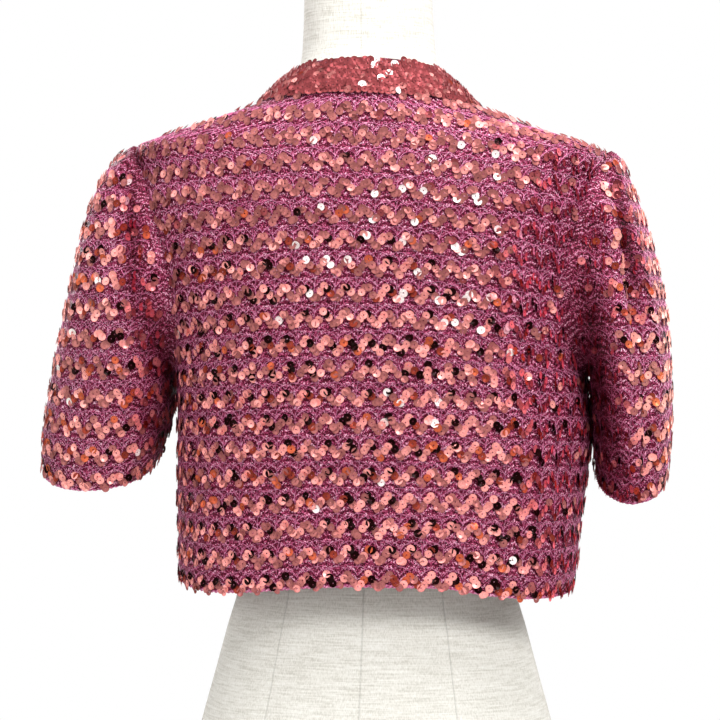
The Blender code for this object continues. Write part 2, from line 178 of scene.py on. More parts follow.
CUFF_DROP_AT_BACK = 0.38
ARMHOLE_FADE_ROWS = 4.5

GATHERS = 12
GATHER_HEIGHT = 2.0
GATHER_HALF_TURN = 1.9
GATHER_EDGE = 0.7
GATHER_START, GATHER_END = 1.5, 4.0
LEFT_FOLD_DEPTH, RIGHT_FOLD_DEPTH = 2.0, 5.0
FOLD_TOP_TURN, FOLD_DRIFT, FOLD_HALF_WIDTH = 74.0, -2.0, 13.0
FOLD_RIDGE_SHARE, FOLD_RIDGE_AWAY = 0.6, 1.7
FOLD_START, FOLD_FADE = 2.0, 3.0

# How the figure leans and lifts one shoulder
LEAN_COLUMNS = ("height", "to_left")
LEAN = (
    (0, 0),
    (300, 0),
    (420, 1.5),
    (568, 5),
    (724, 7.5),
)
SHOULDER_TILT = 0.024
TILT_STARTS, TILT_FULL, TILT_FADES, TILT_ENDS = 380.0, 540.0, 600.0, 665.0

# Small steps and limits of the surfaces
FRONT_TOP_DROP = 0.5
SMALL_TURN, SMALL_CLIMB = 0.02, 0.6
MOST_BEND_COSINE = -0.2
SHARP_ANGLE = 0.9
TINY = 1e-6

# The knitting: levels up a piece of cloth, cells along a row, and how far a row hangs at the sides
LEVEL_STEP = 1.5
LAST_CELL = 1.001
UP_STEP = 2.0
CELL_WIDTH, ROW_HEIGHT = 16.5, 20.6
DROOP_LEFT, DROOP_RIGHT = 13.0, 22.0
DROOP_STARTS, DROOP_FULL = 230.0, 500.0
HEM_LEVEL, HEM_LEVEL_FADE = 212.0, 150.0
CUFF_LEVEL_FADE = 170.0
BODY_LEVELS = (216.5, 640.0)
CUFF_FIRST_ROW, SLEEVE_LAST_LEVEL = 7.0, 620.0

# Creases: place along, place up, half-length, half-width, turn in degrees, height
CREASE_RADIUS = 150.0
CREASE_RIM_PLACE, CREASE_RING_STEP = -0.2, 25.0
BACK_CREASES = (
    (-165, 330, 70, 11, 78, -1.8),
    (-120, 290, 80, 16, 84, 1.4),
    (150, 330, 70, 12, 102, -1.8),
    (60, 260, 70, 22, 95, 1.2),
    (-40, 270, 80, 24, 88, 1.2),
)
FRONT_CREASES = (
    (330, 300, 70, 12, 95, -1.6),
    (290, 280, 80, 18, 85, 1.4),
    (-330, 310, 70, 12, 85, -1.6),
    (-290, 290, 80, 18, 95, 1.4),
)
LEFT_SLEEVE_CREASES = (
    (52, 60, 40, 7, 82, -1.6),
    (100, 120, 60, 9, 78, -1.8),
    (128, 130, 50, 9, 84, 1.2),
    (-60, 90, 60, 9, 98, -1.6),
    (-110, 120, 50, 8, 95, -1.8),
)
RIGHT_SLEEVE_CREASES = (
    (60, 55, 50, 6, 84, 1.4),
    (112, 120, 70, 9, 86, -1.6),
    (52, 55, 50, 5, 63, -7),
    (38, 62, 55, 7, 63, 1.5),
    (63, 50, 50, 6, 63, 3),
    (70, 150, 70, 6, 85, -2.4),
    (82, 150, 70, 6, 85, 2),
    (176, 80, 60, 22, 90, 3.6),
    (-184, 80, 60, 22, 90, 3.6),
    (-70, 80, 60, 9, 96, -1.8),
    (-120, 120, 50, 8, 92, 1.4),
)
SLEEVES = {
    "left": (LEFT_SLEEVE_RINGS, LEFT_FOLD_DEPTH, LEFT_SLEEVE_CREASES),
    "right": (RIGHT_SLEEVE_RINGS, RIGHT_FOLD_DEPTH, RIGHT_SLEEVE_CREASES),
}

# Painted shade, deeper and redder, in the creases, and painted light in a few places beside them, written
# as creases are, seen from behind
PAINTED_SHADE_AND_LIGHT_LINES = (
    (-186, 385, 100, 12, 86, 0.68),
    (-178, 400, 115, 28, 86, 0.25),
    (-210, 492, 62, 5, 82, 0.85),
    (-219, 470, 40, 8, 80, 0.42),
    (-204.5, 490, 66, 3, 82, -0.35),
    (-205, 400, 60, 4, 88, -0.20),
    (189, 490, 62, 6.5, 88, 0.60),
    (172, 395, 50, 13, 84, 0.62),
    (181, 325, 40, 10, 78, 0.50),
    (-203, 300, 65, 12, 80, 0.35),
    (-228, 420, 125, 26, 82, -0.42),
    (250, 400, 150, 42, 98, -0.14),
    (-155, 400, 120, 28, 88, -0.12),
    (203, 556, 18, 9, 30, 0.30),
)
PAINTED_SHADE_POWERS = (1.0, 1.7, 1.4)

# One sequin, how it hangs on its thread, and how its place strays
SEED = 7
SEQUIN_RADIUS, SEQUIN_HOLE, SEQUIN_CUP, SEQUIN_SIDES = 3.3, 0.6, 0.6, 12
SEQUIN_SIZES, SEQUIN_SHADES = (0.93, 1.06), (0.84, 1.16)
SEQUIN_TILT, SEQUIN_WOBBLE, SIDE_TILT = 0.20, 0.15, 0.25
HUNG_SLOPE, STEEP_FROM, STEEP_TO = 0.45, 0.25, 0.6
# A painted shade on each sequin's rim and a painted highlight round its hole
RIM_PAINTED_SHADE, HOLE_PAINTED_HIGHLIGHT = 0.94, 1.16
ZIGZAG_HEIGHT, SEQUIN_STEP = 11.5, 4.7
STAND_OFF, LIFT_SPREAD = 0.8, 0.7
SEQUIN_OVERHANG, SEQUIN_MARGIN = -2.0, 1.5
ROW_DRIFT, ROW_DRIFT_TURN = 0.07, 1.7
ALONG_JITTER, RISE_JITTER = 0.35, 0.45

# The neckbands' own rows of sequins
BAND_ROW, BAND_STEP = 4.4, 4.6
BAND_LEFT_MARGIN, BAND_RIGHT_MARGIN, BAND_EDGE = 2.5, 2.0, 1.2
BAND_ALONG_JITTER, BAND_RISE_JITTER, BAND_TURN_JITTER = 0.4, 0.5, 0.3
BAND_STAND_OFF, BAND_LIFT_SPREAD = 1.0, 0.9

# Where sequins turn edge on: right of a line down the back, and in the creases; there their colours get a
# painted shade
SWEEP_MOST = 1.2
SWEEP_HEIGHTS, SWEEP_STARTS = (230.0, 420.0, 480.0, 560.0), (-118.0, -90.0, -92.0, -128.0)
SWEEP_WIDTH, SWEEP_ENDS, FACING_SHARE = 44.0, -196.0, 0.10
SWEEP_PAINTED_SHADE = (0.18, 0.78, 0.60)
SWEEP_LINES = (
    (-215, 478, 56, 7, 82, 1),
    (-201, 385, 80, 6, 86, 0.9),
    (189, 490, 62, 8, 88, 1),
    (203, 556, 18, 9, 30, 0.8),
    (176, 400, 55, 12, 84, 0.9),
    (183, 325, 40, 9, 78, 0.8),
    (-203, 300, 65, 12, 80, 0.9),
)

# Colours: shares of the sequins' colours low and high on the jacket, up to each place in a cell
# The sequins stand for one copper-pink metal: salmon, orange, the browns and black are its painted
# reflections of lit and dark surroundings
SALMON, ROSE_BROWN = (0.91, 0.335, 0.31), (0.39, 0.125, 0.12)
ORANGE, BLACK = (0.54, 0.105, 0.05), (0.010, 0.002, 0.002)
# Near white is the colour of a painted glint, a painted highlight
PAINTED_GLINT_COLOUR, RED_BROWN, BAND_ROSE = (1.0, 0.86, 0.84), (0.24, 0.035, 0.022), (0.25, 0.050, 0.055)
SEQUIN_COLOURS_AND_REFLECTIONS = (SALMON, ROSE_BROWN, ORANGE, BLACK, RED_BROWN, BAND_ROSE)
SHARES_BY_PLACE = (
    (0.17, (0.52, 0.42, 0.04, 0.01, 0.01, 0), (0.14, 0.80, 0.01, 0, 0, 0.05)),
    (0.50, (0.72, 0.19, 0.06, 0.02, 0.01, 0), (0.27, 0.70, 0.01, 0, 0, 0.02)),
    (0.70, (0.12, 0.33, 0.04, 0.46, 0.05, 0), (0.06, 0.83, 0.01, 0.04, 0.01, 0.05)),
    (0.86, (0.10, 0.36, 0.08, 0.16, 0.30, 0), (0.05, 0.86, 0, 0.01, 0.03, 0.05)),
    (1.01, (0.24, 0.60, 0.06, 0.05, 0.05, 0), (0.10, 0.84, 0, 0, 0.01, 0.05)),
)
BAND_SHARES = (0.03, 0.10, 0.0, 0.0, 0.02, 0.85)
KNIT_TONES = ((0.040, 0.001, 0.007), (0.17, 0.008, 0.034), (0.56, 0.082, 0.205), (0.95, 0.57, 0.73))
BAND_TONES = ((0.03, 0.004, 0.012), (0.11, 0.02, 0.04), (0.30, 0.07, 0.13), (0.6, 0.3, 0.4))

# Browns take over between two levels, with a share of the blacks kept; painted glints, sequins painted
# near white as painted highlights, gather round a place
BODY_BROWNS, SLEEVE_BROWNS = (430.0, 520.0, 1.0), (520.0, 620.0, 0.4)
LEAST_PAINTED_GLINTS = 0.006
BACK_PAINTED_GLINT_SPOT = (0.14, (-52.0, 485.0), (85.0, 90.0))
BAND_PAINTED_GLINT_SPOT = (0.09, (0.0, 640.0), (30.0, 60.0))

# Yarns: the scallops over a row, the ribs between its cells and the crocheted edges
ARCHES = ((4.6, 5.6, 0.0), (7.4, 4.4, 0.5))
ARCH_THICK, ARCH_POINTS, ARCH_LIFT, ARCH_FULLNESS = 0.62, 8, 0.5, 0.7
RIB_THICK, RIB_POINTS, RIB_LIFT = 0.75, 5, 0.35
RIB_SHARES, RIB_WAVE, RIB_WAVE_TURN = (-0.45, 0.55), 0.8, 9.0
YARN_SIDES, YARN_JITTER, YARN_MARGIN = 3, 0.3, 0.5
# Painted shade: yarns painted darker low on the jacket and in full colour high up
YARN_PAINTED_SHADE, YARN_SHADE_PAINTED_BELOW, YARN_UNSHADED_FROM = 0.82, 330.0, 520.0
EDGE_THICK, EDGE_WAVE, EDGE_LENGTH, EDGE_STEP = 1.9, 0.8, 9.0, 1.6
EDGE_SIDES, EDGE_DROP, EDGE_TWIST, EDGE_JITTER = 7, -0.6, 0.9, 0.12

# Materials
LUREX_LOOP_SHARE, LUREX_STRAND_SHARE, LUREX_ARC_SHARE, LUREX_ARC_TURN = 0.55, 0.62, 0.10, 26.0
LUREX_STOPS = (0.36, 0.60, 0.77, 0.92)
LINEN_CLOUD_SHARE = 0.25
NODE_STEP = 200.0

# The form's seams, and its painted shade and light from foot to neck: painted shade below the jacket's
# hem, a painted lighter neck
SEAM_ANGLES = (0.0, 33.0, -33.0, 90.0, -90.0, 147.0, -147.0, 180.0)
SEAM_COLUMNS = (-1.6, -0.7, -0.3, 0.0, 0.3, 0.7, 1.6)
SEAM_DEPTH, SEAM_HALF_WIDTH, SEAM_RADIUS, SEAM_SHADE = 0.5, 0.55, 120.0, 0.45
SEAM_MIDDLE_SINE, SEAM_CLEARANCE = 0.2, 0.001
SIDE_SEAMS_FADE, SIDE_SEAMS_LENGTH = 560.0, 40.0
FORM_SHADE_PAINTED_AT = (0.0, 120.0, 165.0, 205.0, 560.0, 620.0, 724.0)
FORM_PAINTED_SHADE = (0.86, 0.82, 0.83, 0.90, 0.80, 1.02, 1.08)

# Camera, lights and surroundings, in metres
CAMERA_AT, CAMERA_AZIMUTH = (-0.2513, 1.8833, 0.39), 187.6
CAMERA_LENS, CAMERA_SHIFT, CAMERA_SEES = 114.45, -0.0229, 50.0
LIGHTS_AIM = (0.0, 0.0, 0.40)
LIGHTS = (
    ("key", (-1.3, 1.7, 2), 1, 64),
    ("fill", (1.9, 1.7, 1), 1.6, 25),
    ("over", (-0.1, 0.3, 2.2), 1.2, 34),
    ("behind_left", (1.6, -1.6, 1.1), 1.4, 26),
    ("behind_right", (-1.6, -1.6, 1.1), 1.4, 26),
)
WALL_LIGHT = 0.34
FLOOR_RADIUS, FLOOR_SIDES = 0.52, 96


def column(table, names, name):
    """One named column of a table as an array."""
    return np.array([row[names.index(name)] for row in table], float)


def follow(knots, values, at):
    """Smooth curve through a table's rows that never overshoots them."""
    step = np.diff(knots)
    rise = np.diff(values) / step
    slope = np.zeros(len(knots))
    same_way = rise[:-1] * rise[1:] > 0
    both = np.where(same_way, rise[:-1] + rise[1:], 1.0)
    slope[1:-1] = np.where(same_way, 2 * rise[:-1] * rise[1:] / both, 0.0)
    slope[0] = rise[0]
    slope[-1] = rise[-1]
    at = np.clip(np.asarray(at, float), knots[0], knots[-1])
    row = np.clip(np.searchsorted(knots, at) - 1, 0, len(step) - 1)
    t = (at - knots[row]) / step[row]
    start = values[row] * (1 + 2 * t) * (1 - t) ** 2 + slope[row] * step[row] * t * (1 - t) ** 2
    end = values[row + 1] * t * t * (3 - 2 * t) + slope[row + 1] * step[row] * t * t * (t - 1)
    return start + end


def look_up(table, names, name, at):
    """A named column of a table, followed along its first column."""
    return follow(column(table, names, names[0]), column(table, names, name), at)


def form_size(name, height):
    return look_up(FORM_SECTIONS, FORM_SECTION_COLUMNS, name, height)


def ease(name, height):
    return look_up(EASE_SECTIONS, EASE_COLUMNS, name, height)


def unit(vectors):
    """The same directions, each of length one."""
    return vectors / np.maximum(np.linalg.norm(vectors, axis=-1, keepdims=True), TINY)


def step_lengths(points, axis=0):
    return np.linalg.norm(np.diff(points, axis=axis), axis=-1)


def circle(sides):
    """Points round a flat circle of radius one."""
    turn = np.linspace(0, 2 * np.pi, sides, endpoint=False)
    return np.stack([np.cos(turn), np.sin(turn), np.zeros_like(turn)], axis=-1)


def wrapped(turn):
    """The same turns, between minus and plus half a turn."""
    return np.angle(np.exp(1j * turn))


def section_point(angle, half_width, back, front):
    """Point on a rounded section; angle 0 is the centre back and 90 degrees the wearer's left."""
    sine = np.sin(angle)
    across = half_width * sine
    depth = np.where(np.cos(angle) >= 0, back, -front)
    rest = np.clip(1 - np.abs(sine) ** SECTION_ROUNDNESS, 0, 1)
    return across, depth * rest ** (1 / SECTION_ROUNDNESS)


def jacket_half_width(side, height):
    sideways = np.where(np.asarray(side) >= 0, ease("left", height), ease("right", height))
    return form_size("half_width", height - SHOULDER_LIFT) + sideways


def jacket_depth(face, height):
    name = "back" if face > 0 else "front"
    return form_size(name, height - SHOULDER_LIFT) + ease(name, height)


def jacket_point(angle, height):
    """Inside of the jacket's body at an angle round it, in radians, and a height."""
    angle, height = np.broadcast_arrays(np.asarray(angle, float), np.asarray(height, float))
    half_width = jacket_half_width(np.sin(angle), height)
    across, along = section_point(angle, half_width, jacket_depth(1, height), jacket_depth(-1, height))
    return np.stack([across, along, height], axis=-1)


def jacket_outward(angle, height):
    """Unit vectors square to the jacket's body, pointing out."""
    round_it = jacket_point(angle + SMALL_TURN, height) - jacket_point(angle - SMALL_TURN, height)
    up_it = jacket_point(angle, height + SMALL_CLIMB) - jacket_point(angle, height - SMALL_CLIMB)
    return unit(np.cross(up_it, round_it))


def armhole_angle(height, side, face):
    """Angle of the armhole's edge: an ellipse in the side view."""
    middle = (UNDERARM + SHOULDER_TIP) / 2
    half_height = (SHOULDER_TIP - UNDERARM) / 2
    rise = np.clip((height - middle) / half_height, -1, 1)
    reach = (ARMHOLE_BACK if face > 0 else ARMHOLE_FRONT) * np.sqrt(1 - rise ** 2)
    fraction = (1 - (reach / jacket_depth(face, height)) ** SECTION_ROUNDNESS) ** (1 / SECTION_ROUNDNESS)
    from_middle = np.arcsin(np.clip(fraction, 0, 1))
    return side * (from_middle if face > 0 else np.pi - from_middle)


def hem_height(angle):
    degrees = np.degrees((angle + np.pi) % (2 * np.pi) - np.pi)
    return look_up(HEM_LINE, HEM_COLUMNS, "height", degrees)


def armhole_heights():
    """Heights of the armhole's points, evenly turned round it from the underarm to the tip."""
    turn = np.linspace(np.pi, 0, ARMHOLE_ROWS + 1)
    return (UNDERARM + SHOULDER_TIP) / 2 + (SHOULDER_TIP - UNDERARM) / 2 * np.cos(turn)


def row_heights(top):
    """Heights of a panel's rows above its hem rows: the armhole's, then the yoke's."""
    yoke = top - (top - SHOULDER_TIP) * np.linspace(1, 0, YOKE_ROWS + 1)[1:] ** 2
    return np.concatenate([armhole_heights(), yoke])


def edge_angle(height, side, face):
    """Angle where a panel ends: side seam, armhole, then the shoulder seam."""
    in_armhole = (height > UNDERARM) & (height < SHOULDER_TIP)
    return np.where(in_armhole, armhole_angle(height, side, face), side * np.pi / 2)


def neck_low(angle):
    """Height of the neckband's lower edge across the back."""
    return NAPE_LOW - (NAPE_LOW - BAND_AT_SHOULDER) * np.sin(angle) ** 2


def neck_high(angle):
    return NAPE_HIGH - (NAPE_HIGH - NECK_AT_SHOULDER) * np.sin(angle) ** 2


def back_panel_grid():
    """Angles and heights of the back panel, hem row first."""
    share = np.linspace(-1, 1, 2 * HALF_COLUMNS + 1)
    side = np.where(share >= 0, 1.0, -1.0)
    hem_angle = share * np.pi / 2
    hem = hem_height(hem_angle)
    rows = [(hem_angle, hem + part * (UNDERARM - hem)) for part in np.linspace(0, 1, SIDE_ROWS + 1)[:-1]]
    heights = row_heights(BAND_AT_SHOULDER)
    for height in heights:
        ending = np.abs(edge_angle(height, side, 1))
        angle = share * ending
        lift = np.clip((height - SHOULDER_TIP) / (heights[-1] - SHOULDER_TIP), 0, 1)
        rows.append((angle, height + lift * (neck_low(angle) - BAND_AT_SHOULDER)))
    return [np.array(grid) for grid in zip(*rows)]


def front_angle(across, height, side):
    """Angle on the front of the body of a distance out from its middle."""
    fraction = np.clip(across / jacket_half_width(side, height), 0, 1)
    return side * (np.pi - np.arcsin(fraction))


def band_path(name, outer_height):
    """A column of the front band's path, found by the height of its outer edge."""
    heights = column(FRONT_BAND_PATH, FRONT_BAND_COLUMNS, "outer_height")[::-1]
    return follow(heights, column(FRONT_BAND_PATH, FRONT_BAND_COLUMNS, name)[::-1], outer_height)


def front_edge_angle(height, side):
    """Angle where a front panel meets its band."""
    return front_angle(band_path("outer_out", height), height, side)


def front_panel_grid(side):
    """Angles and heights of a front panel, from its band to its side."""
    share = np.linspace(0, 1, FRONT_COLUMNS + 1)
    start = front_edge_angle(hem_height(side * np.pi), side)
    hem = hem_height(start + share * (side * np.pi / 2 - start))
    rows = []
    for part in np.linspace(0, 1, SIDE_ROWS + 1)[:-1]:
        height = hem + part * (UNDERARM - hem)
        begin = front_edge_angle(height[0], side)
        rows.append((begin + share * (side * np.pi / 2 - begin), height))
    for height in row_heights(BAND_AT_SHOULDER - FRONT_TOP_DROP):
        begin = front_edge_angle(height, side)
        ending = edge_angle(height, side, -1)
        rows.append((begin + share * (ending - begin), np.full(len(share), height)))
    return [np.array(grid) for grid in zip(*rows)]


def front_band_grid(side):
    """Angles and heights of a front band: its outer edge has the front panel's own rows."""
    angles, heights = front_panel_grid(side)
    outer_height = np.append(heights[:, 0], BAND_AT_SHOULDER)
    outer_angle = np.append(angles[:, 0], side * np.pi / 2)
    inner_height = band_path("inner_height", outer_height)
    inner_height[0] = outer_height[0]
    inner_angle = front_angle(band_path("inner_out", outer_height), inner_height, side)
    inner_angle[-1] = side * np.pi / 2
    share = np.linspace(0, 1, BAND_COLUMNS + 1)[None]
    inner_sine, outer_sine = np.abs(np.sin(inner_angle))[:, None], np.abs(np.sin(outer_angle))[:, None]
    sine = inner_sine + share * (outer_sine - inner_sine)
    height = inner_height[:, None] + share * (outer_height - inner_height)[:, None]
    return side * (np.pi - np.arcsin(np.clip(sine, 0, 1))), height


def back_band_grid():
    angle = np.linspace(-np.pi / 2, np.pi / 2, 2 * HALF_COLUMNS + 1)
    share = np.linspace(0, 1, BAND_COLUMNS + 1)[:, None]
    low, high = neck_low(angle)[None], neck_high(angle)[None]
    return np.repeat(angle[None], len(share), axis=0), low + share * (high - low)


def trimmed(points):
    """A grid whose four edges are drawn in by half the seam gap."""
    points = points.copy()
    for axis in (0, 1):
        grid = np.moveaxis(points, axis, 0)
        for edge, beside in ((0, 1), (-1, -2)):
            inward = grid[beside] - grid[edge]
            length = np.linalg.norm(inward, axis=-1, keepdims=True)
            grid[edge] += inward / np.maximum(length, SEAM_GAP) * SEAM_GAP / 2
    return points


def smooth_step(value):
    value = np.clip(value, 0, 1)
    return value * value * (3 - 2 * value)


def armhole_rim(side):
    """Middle of the armhole's rim and the way off the panel there, tip first."""
    heights = armhole_heights()
    down, up = heights[::-1], heights[1:-1]
    height = np.concatenate([down, up])
    angle = np.concatenate([armhole_angle(down, side, 1), armhole_angle(up, side, -1)])
    outward = jacket_outward(angle, height)
    rim = jacket_point(angle, height) + outward * WALL / 2
    along = np.roll(rim, -1, axis=0) - np.roll(rim, 1, axis=0)
    off_panel = unit(side * np.cross(along, outward))
    return twice_as_many(rim), twice_as_many(off_panel)


def twice_as_many(points):
    """A closed ring of points with the middle of each step added."""
    middles = (points + np.roll(points, -1, axis=0)) / 2
    return np.stack([points, middles], axis=1).reshape(-1, 3)


def sleeve_ring(side, outer, inner, forward, half_depth, drop, turn):
    """Ring from the outer side (turn 0) round the back to the inner side and the front."""
    middle = (np.array(outer) + np.array(inner)) / 2
    reach = (np.array(outer) - np.array(inner)) / 2
    out = middle[0] + reach[0] * np.cos(turn)
    height = middle[1] + reach[1] * np.cos(turn) - drop * half_depth * np.sin(turn)
    return np.stack([side * out, forward + half_depth * np.sin(turn), height], axis=-1)


def sleeve_middle(side, table):
    """Middle surface of a sleeve: the armhole's rim, then a ring at each place in the table."""
    rim, off_panel = armhole_rim(side)
    turn = np.linspace(0, 2 * np.pi, len(rim), endpoint=False)
    rows = np.arange(len(table))
    last = rows[-1]
    flat_rim = sleeve_ring(side, rim[0, ::2] * (side, 1), rim[len(rim) // 2, ::2] * (side, 1),
                           0.0, ARMHOLE_BACK, 0.0, turn)
    rings = []
    for place in SLEEVE_PLACES:
        sizes = {name: follow(rows, column(table, SLEEVE_COLUMNS, name), place) for name in SLEEVE_COLUMNS}
        ring = sleeve_ring(side, (sizes["outer_out"], sizes["outer_height"]),
                           (sizes["inner_out"], sizes["inner_height"]), sizes["forward"],
                           sizes["half_depth"], CUFF_DROP_AT_BACK * smooth_step(place / last), turn)
        ring += (rim - flat_rim) * (1 - smooth_step((place - RIM_PLACE) / ARMHOLE_FADE_ROWS))
        rings.append(ring)
    onward = unit(rings[0] - rim)
    bend = np.arccos(np.clip((onward * off_panel).sum(axis=-1, keepdims=True), MOST_BEND_COSINE, 1))
    start = rim + off_panel * (SLEEVE_SEAM_GAP + SLEEVE_BEND_ROOM * np.tan(bend / 2))
    return np.array([start] + rings), turn


def outward_of_tube(middle, side):
    """Unit vectors square to a tube of rings, pointing out."""
    along = np.gradient(middle, axis=0)
    around = np.roll(middle, -1, axis=1) - np.roll(middle, 1, axis=1)
    return unit(side * np.cross(along, around))


def sleeve_relief(turn, fold_depth):
    """Gathers at the cap and one long fold, a trough beside a ridge, down the back of the sleeve."""
    down = np.append(RIM_PLACE, SLEEVE_PLACES)[:, None]
    from_top = np.abs(wrapped(turn))
    over_cap = smooth_step((GATHER_HALF_TURN - from_top) / GATHER_EDGE)
    gathers = GATHER_HEIGHT * np.cos(GATHERS * turn) * over_cap
    gathers = gathers * smooth_step((down - RIM_PLACE) / GATHER_START) * smooth_step(1 - down / GATHER_END)
    centre = np.radians(FOLD_TOP_TURN + FOLD_DRIFT * down)
    away = (turn - centre) / np.radians(FOLD_HALF_WIDTH)
    ridge = FOLD_RIDGE_SHARE * np.exp(-(away + FOLD_RIDGE_AWAY) ** 2)
    fold = fold_depth * (ridge - np.exp(-away ** 2))
    fold = fold * smooth_step((down - RIM_PLACE) / FOLD_START)
    fold = fold * smooth_step((SLEEVE_PLACES[-1] - down) / FOLD_FADE)
    return gathers + fold


def closed_round(grid, axis):
    """A grid with its first row or column added after its last."""
    return np.concatenate([grid, np.take(grid, [0], axis)], axis)


def cells(number):
    """Corners of every cell in a grid of point numbers, whose last two axes are rows and columns."""
    near, far = number[..., :-1, :], number[..., 1:, :]
    return np.stack([near[..., :-1], near[..., 1:], far[..., 1:], far[..., :-1]], axis=-1)


def wall_faces(rows, columns, closed):
    """Faces of a wall between two grids of points, with its edges closed."""
    inside = np.arange(rows * columns).reshape(rows, columns)
    if closed:
        inside = closed_round(inside, 1)
    outside = inside + rows * columns
    faces = [np.stack([cells(outside), cells(inside)[..., ::-1]], axis=2)]
    edges = [(inside[[0, -1]], outside[[0, -1]])]
    if not closed:
        edges.append((inside[:, [0, -1]].T, outside[:, [0, -1]].T))
    for inner, outer in edges:
        faces.append(cells(np.stack([inner, outer], axis=1)).swapaxes(0, 2))
    return np.concatenate([part.reshape(-1, 4) for part in faces]).tolist()


def as_it_stands(points):
    """Leans the figure a little to its left and lifts its left shoulder above the right."""
    across, along, height = points.T
    lean = look_up(LEAN, LEAN_COLUMNS, "to_left", height)
    begins = smooth_step((height - TILT_STARTS) / (TILT_FULL - TILT_STARTS))
    ends = smooth_step((TILT_ENDS - height) / (TILT_ENDS - TILT_FADES))
    return np.stack([across + lean, along, height + SHOULDER_TILT * across * begins * ends], axis=-1)


class Cloth:
    """Outer points of a piece of cloth and each one's level up the knitting; no middle means a tube."""

    def __init__(self, outside, outward, level, middle=None):
        self.closed = middle is None
        if self.closed:
            outside, outward, level = [closed_round(grid, 1) for grid in (outside, outward, level)]
            middle = level.shape[1] // 2
        self.level, self.first = level, level.min()
        self.lowest, self.highest = level.min(axis=0), level.max(axis=0)
        steps = np.arange(self.first, level.max() + LEVEL_STEP, LEVEL_STEP)
        self.points = self.by_level(outside, level, steps)
        self.normals = self.by_level(outward, level, steps)
        step = step_lengths(self.points, axis=1)
        to_right = np.cumsum(step[:, middle:], axis=1)
        to_left = -np.cumsum(step[:, :middle][:, ::-1], axis=1)[:, ::-1]
        self.arc = np.concatenate([to_left, np.zeros((len(steps), 1)), to_right], axis=1)

    @staticmethod
    def by_level(values, level, steps):
        """A grid's values read at even levels, column by column."""
        columns = [[np.interp(steps, level[:, place], values[:, place, axis]) for axis in range(3)]
                   for place in range(level.shape[1])]
        return np.stack(columns).transpose(2, 0, 1)

    def row_at(self, level):
        row = np.round((level - self.first) / LEVEL_STEP)
        return np.clip(row, 0, len(self.points) - 1).astype(int)

    def row_ends(self, level):
        row = self.row_at(level)
        return self.arc[row, 0], self.arc[row, -1]

    def columns_at(self, level, along):
        """Columns of places so far along a row."""
        return np.interp(along, self.arc[self.row_at(level)], np.arange(self.arc.shape[1]))

    def map_grid(self):
        """Distance along its row of every point of the grid, for the knitting's own map."""
        return np.take_along_axis(self.arc, self.row_at(self.level), axis=0)

    def read(self, table, level, columns):
        """A table's values between its levels and columns."""
        high = np.clip((level - self.first) / LEVEL_STEP, 0, len(table) - LAST_CELL)
        wide = np.clip(columns, 0, table.shape[1] - LAST_CELL)
        row, place = high.astype(int), wide.astype(int)
        up, across = (high - row)[:, None], (wide - place)[:, None]
        low = table[row, place] * (1 - across) + table[row, place + 1] * across
        top = table[row + 1, place] * (1 - across) + table[row + 1, place + 1] * across
        return low * (1 - up) + top * up

    def inside_edges(self, level, columns, above_foot, below_top):
        """Which places are on the cloth, so far from its lower and upper ends."""
        every = np.arange(len(self.lowest))
        low = np.interp(columns, every, self.lowest)
        high = np.interp(columns, every, self.highest)
        return (level > low + above_foot) & (level < high - below_top)

    def frames(self, level, columns):
        """Points with their outward, along-row and up-row directions."""
        points = self.read(self.points, level, columns)
        outward = unit(self.read(self.normals, level, columns))
        along = self.read(self.points, level, columns + 0.5) - self.read(self.points, level, columns - 0.5)
        along = unit(along - outward * (along * outward).sum(axis=-1, keepdims=True))
        up = np.cross(along, outward)
        climb = (self.read(self.points, level + UP_STEP, columns)
                 - self.read(self.points, level - UP_STEP, columns))
        return points, outward, along, up * np.sign((up * climb).sum())


def droop(angle, height):
    """How far a knitted row hangs below its height at the centre back."""
    reach = np.where(np.sin(angle) >= 0, DROOP_LEFT, DROOP_RIGHT)
    high = smooth_step((height - DROOP_STARTS) / (DROOP_FULL - DROOP_STARTS))
    return reach * high * np.sin(angle) ** 2


def crease(along, up, table):
    """Sum of soft troughs and ridges, one for each row of a table."""
    relief = np.zeros(np.broadcast(along, up).shape)
    for middle_along, middle_up, length, half_width, degrees, height in table:
        turn = np.radians(degrees)
        ahead = (along - middle_along) * np.cos(turn) + (up - middle_up) * np.sin(turn)
        beside = (up - middle_up) * np.cos(turn) - (along - middle_along) * np.sin(turn)
        relief = relief + height * np.exp(-(ahead / length) ** 2 - (beside / half_width) ** 2)
    return relief


def shade_and_light_painted_at(points):
    """Painted shade, deeper and redder, in the creases beside the sleeves, and painted light beside them,
    as three factors a point.
    """
    painted_light_and_shade = np.ones(len(points))
    for line in PAINTED_SHADE_AND_LIGHT_LINES:
        painted_light_and_shade *= 1 - crease(points[:, 0], points[:, 2], (line,))
    return painted_light_and_shade[:, None] ** np.array(PAINTED_SHADE_POWERS)


def add_object(name, data):
    added = bpy.data.objects.new(name, data)
    bpy.context.scene.collection.objects.link(added)
    return added


def mesh_piece(name, points, faces, material, colours, flat_map=None):
    """A mesh object in metres that rides on the body; colours are one for each point."""
    mesh = bpy.data.meshes.new(name)
    mesh.from_pydata((as_it_stands(points) * MM).tolist(), [], faces)
    if flat_map is not None:
        layer = mesh.uv_layers.new(name="knit_map")
        corners = np.zeros(len(mesh.loops), dtype=np.int32)
        mesh.loops.foreach_get("vertex_index", corners)
        layer.data.foreach_set("uv", flat_map[corners].astype(np.float32).ravel())
    tint = mesh.attributes.new("tint", "FLOAT_COLOR", "POINT")
    tint.data.foreach_set("color", np.c_[colours, np.ones(len(colours))].astype(np.float32).ravel())
    mesh.shade_smooth()
    mesh.materials.append(material)
    piece = add_object(name, mesh)
    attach(piece, "root")
    return piece


def facing_out(piece):
    """Turns a closed wall's faces outward."""
    solid = bmesh.new()
    solid.from_mesh(piece.data)
    bmesh.ops.recalc_face_normals(solid, faces=solid.faces)
    solid.to_mesh(piece.data)
    solid.free()
    piece.data.shade_smooth()
    piece.data.set_sharp_from_angle(angle=SHARP_ANGLE)


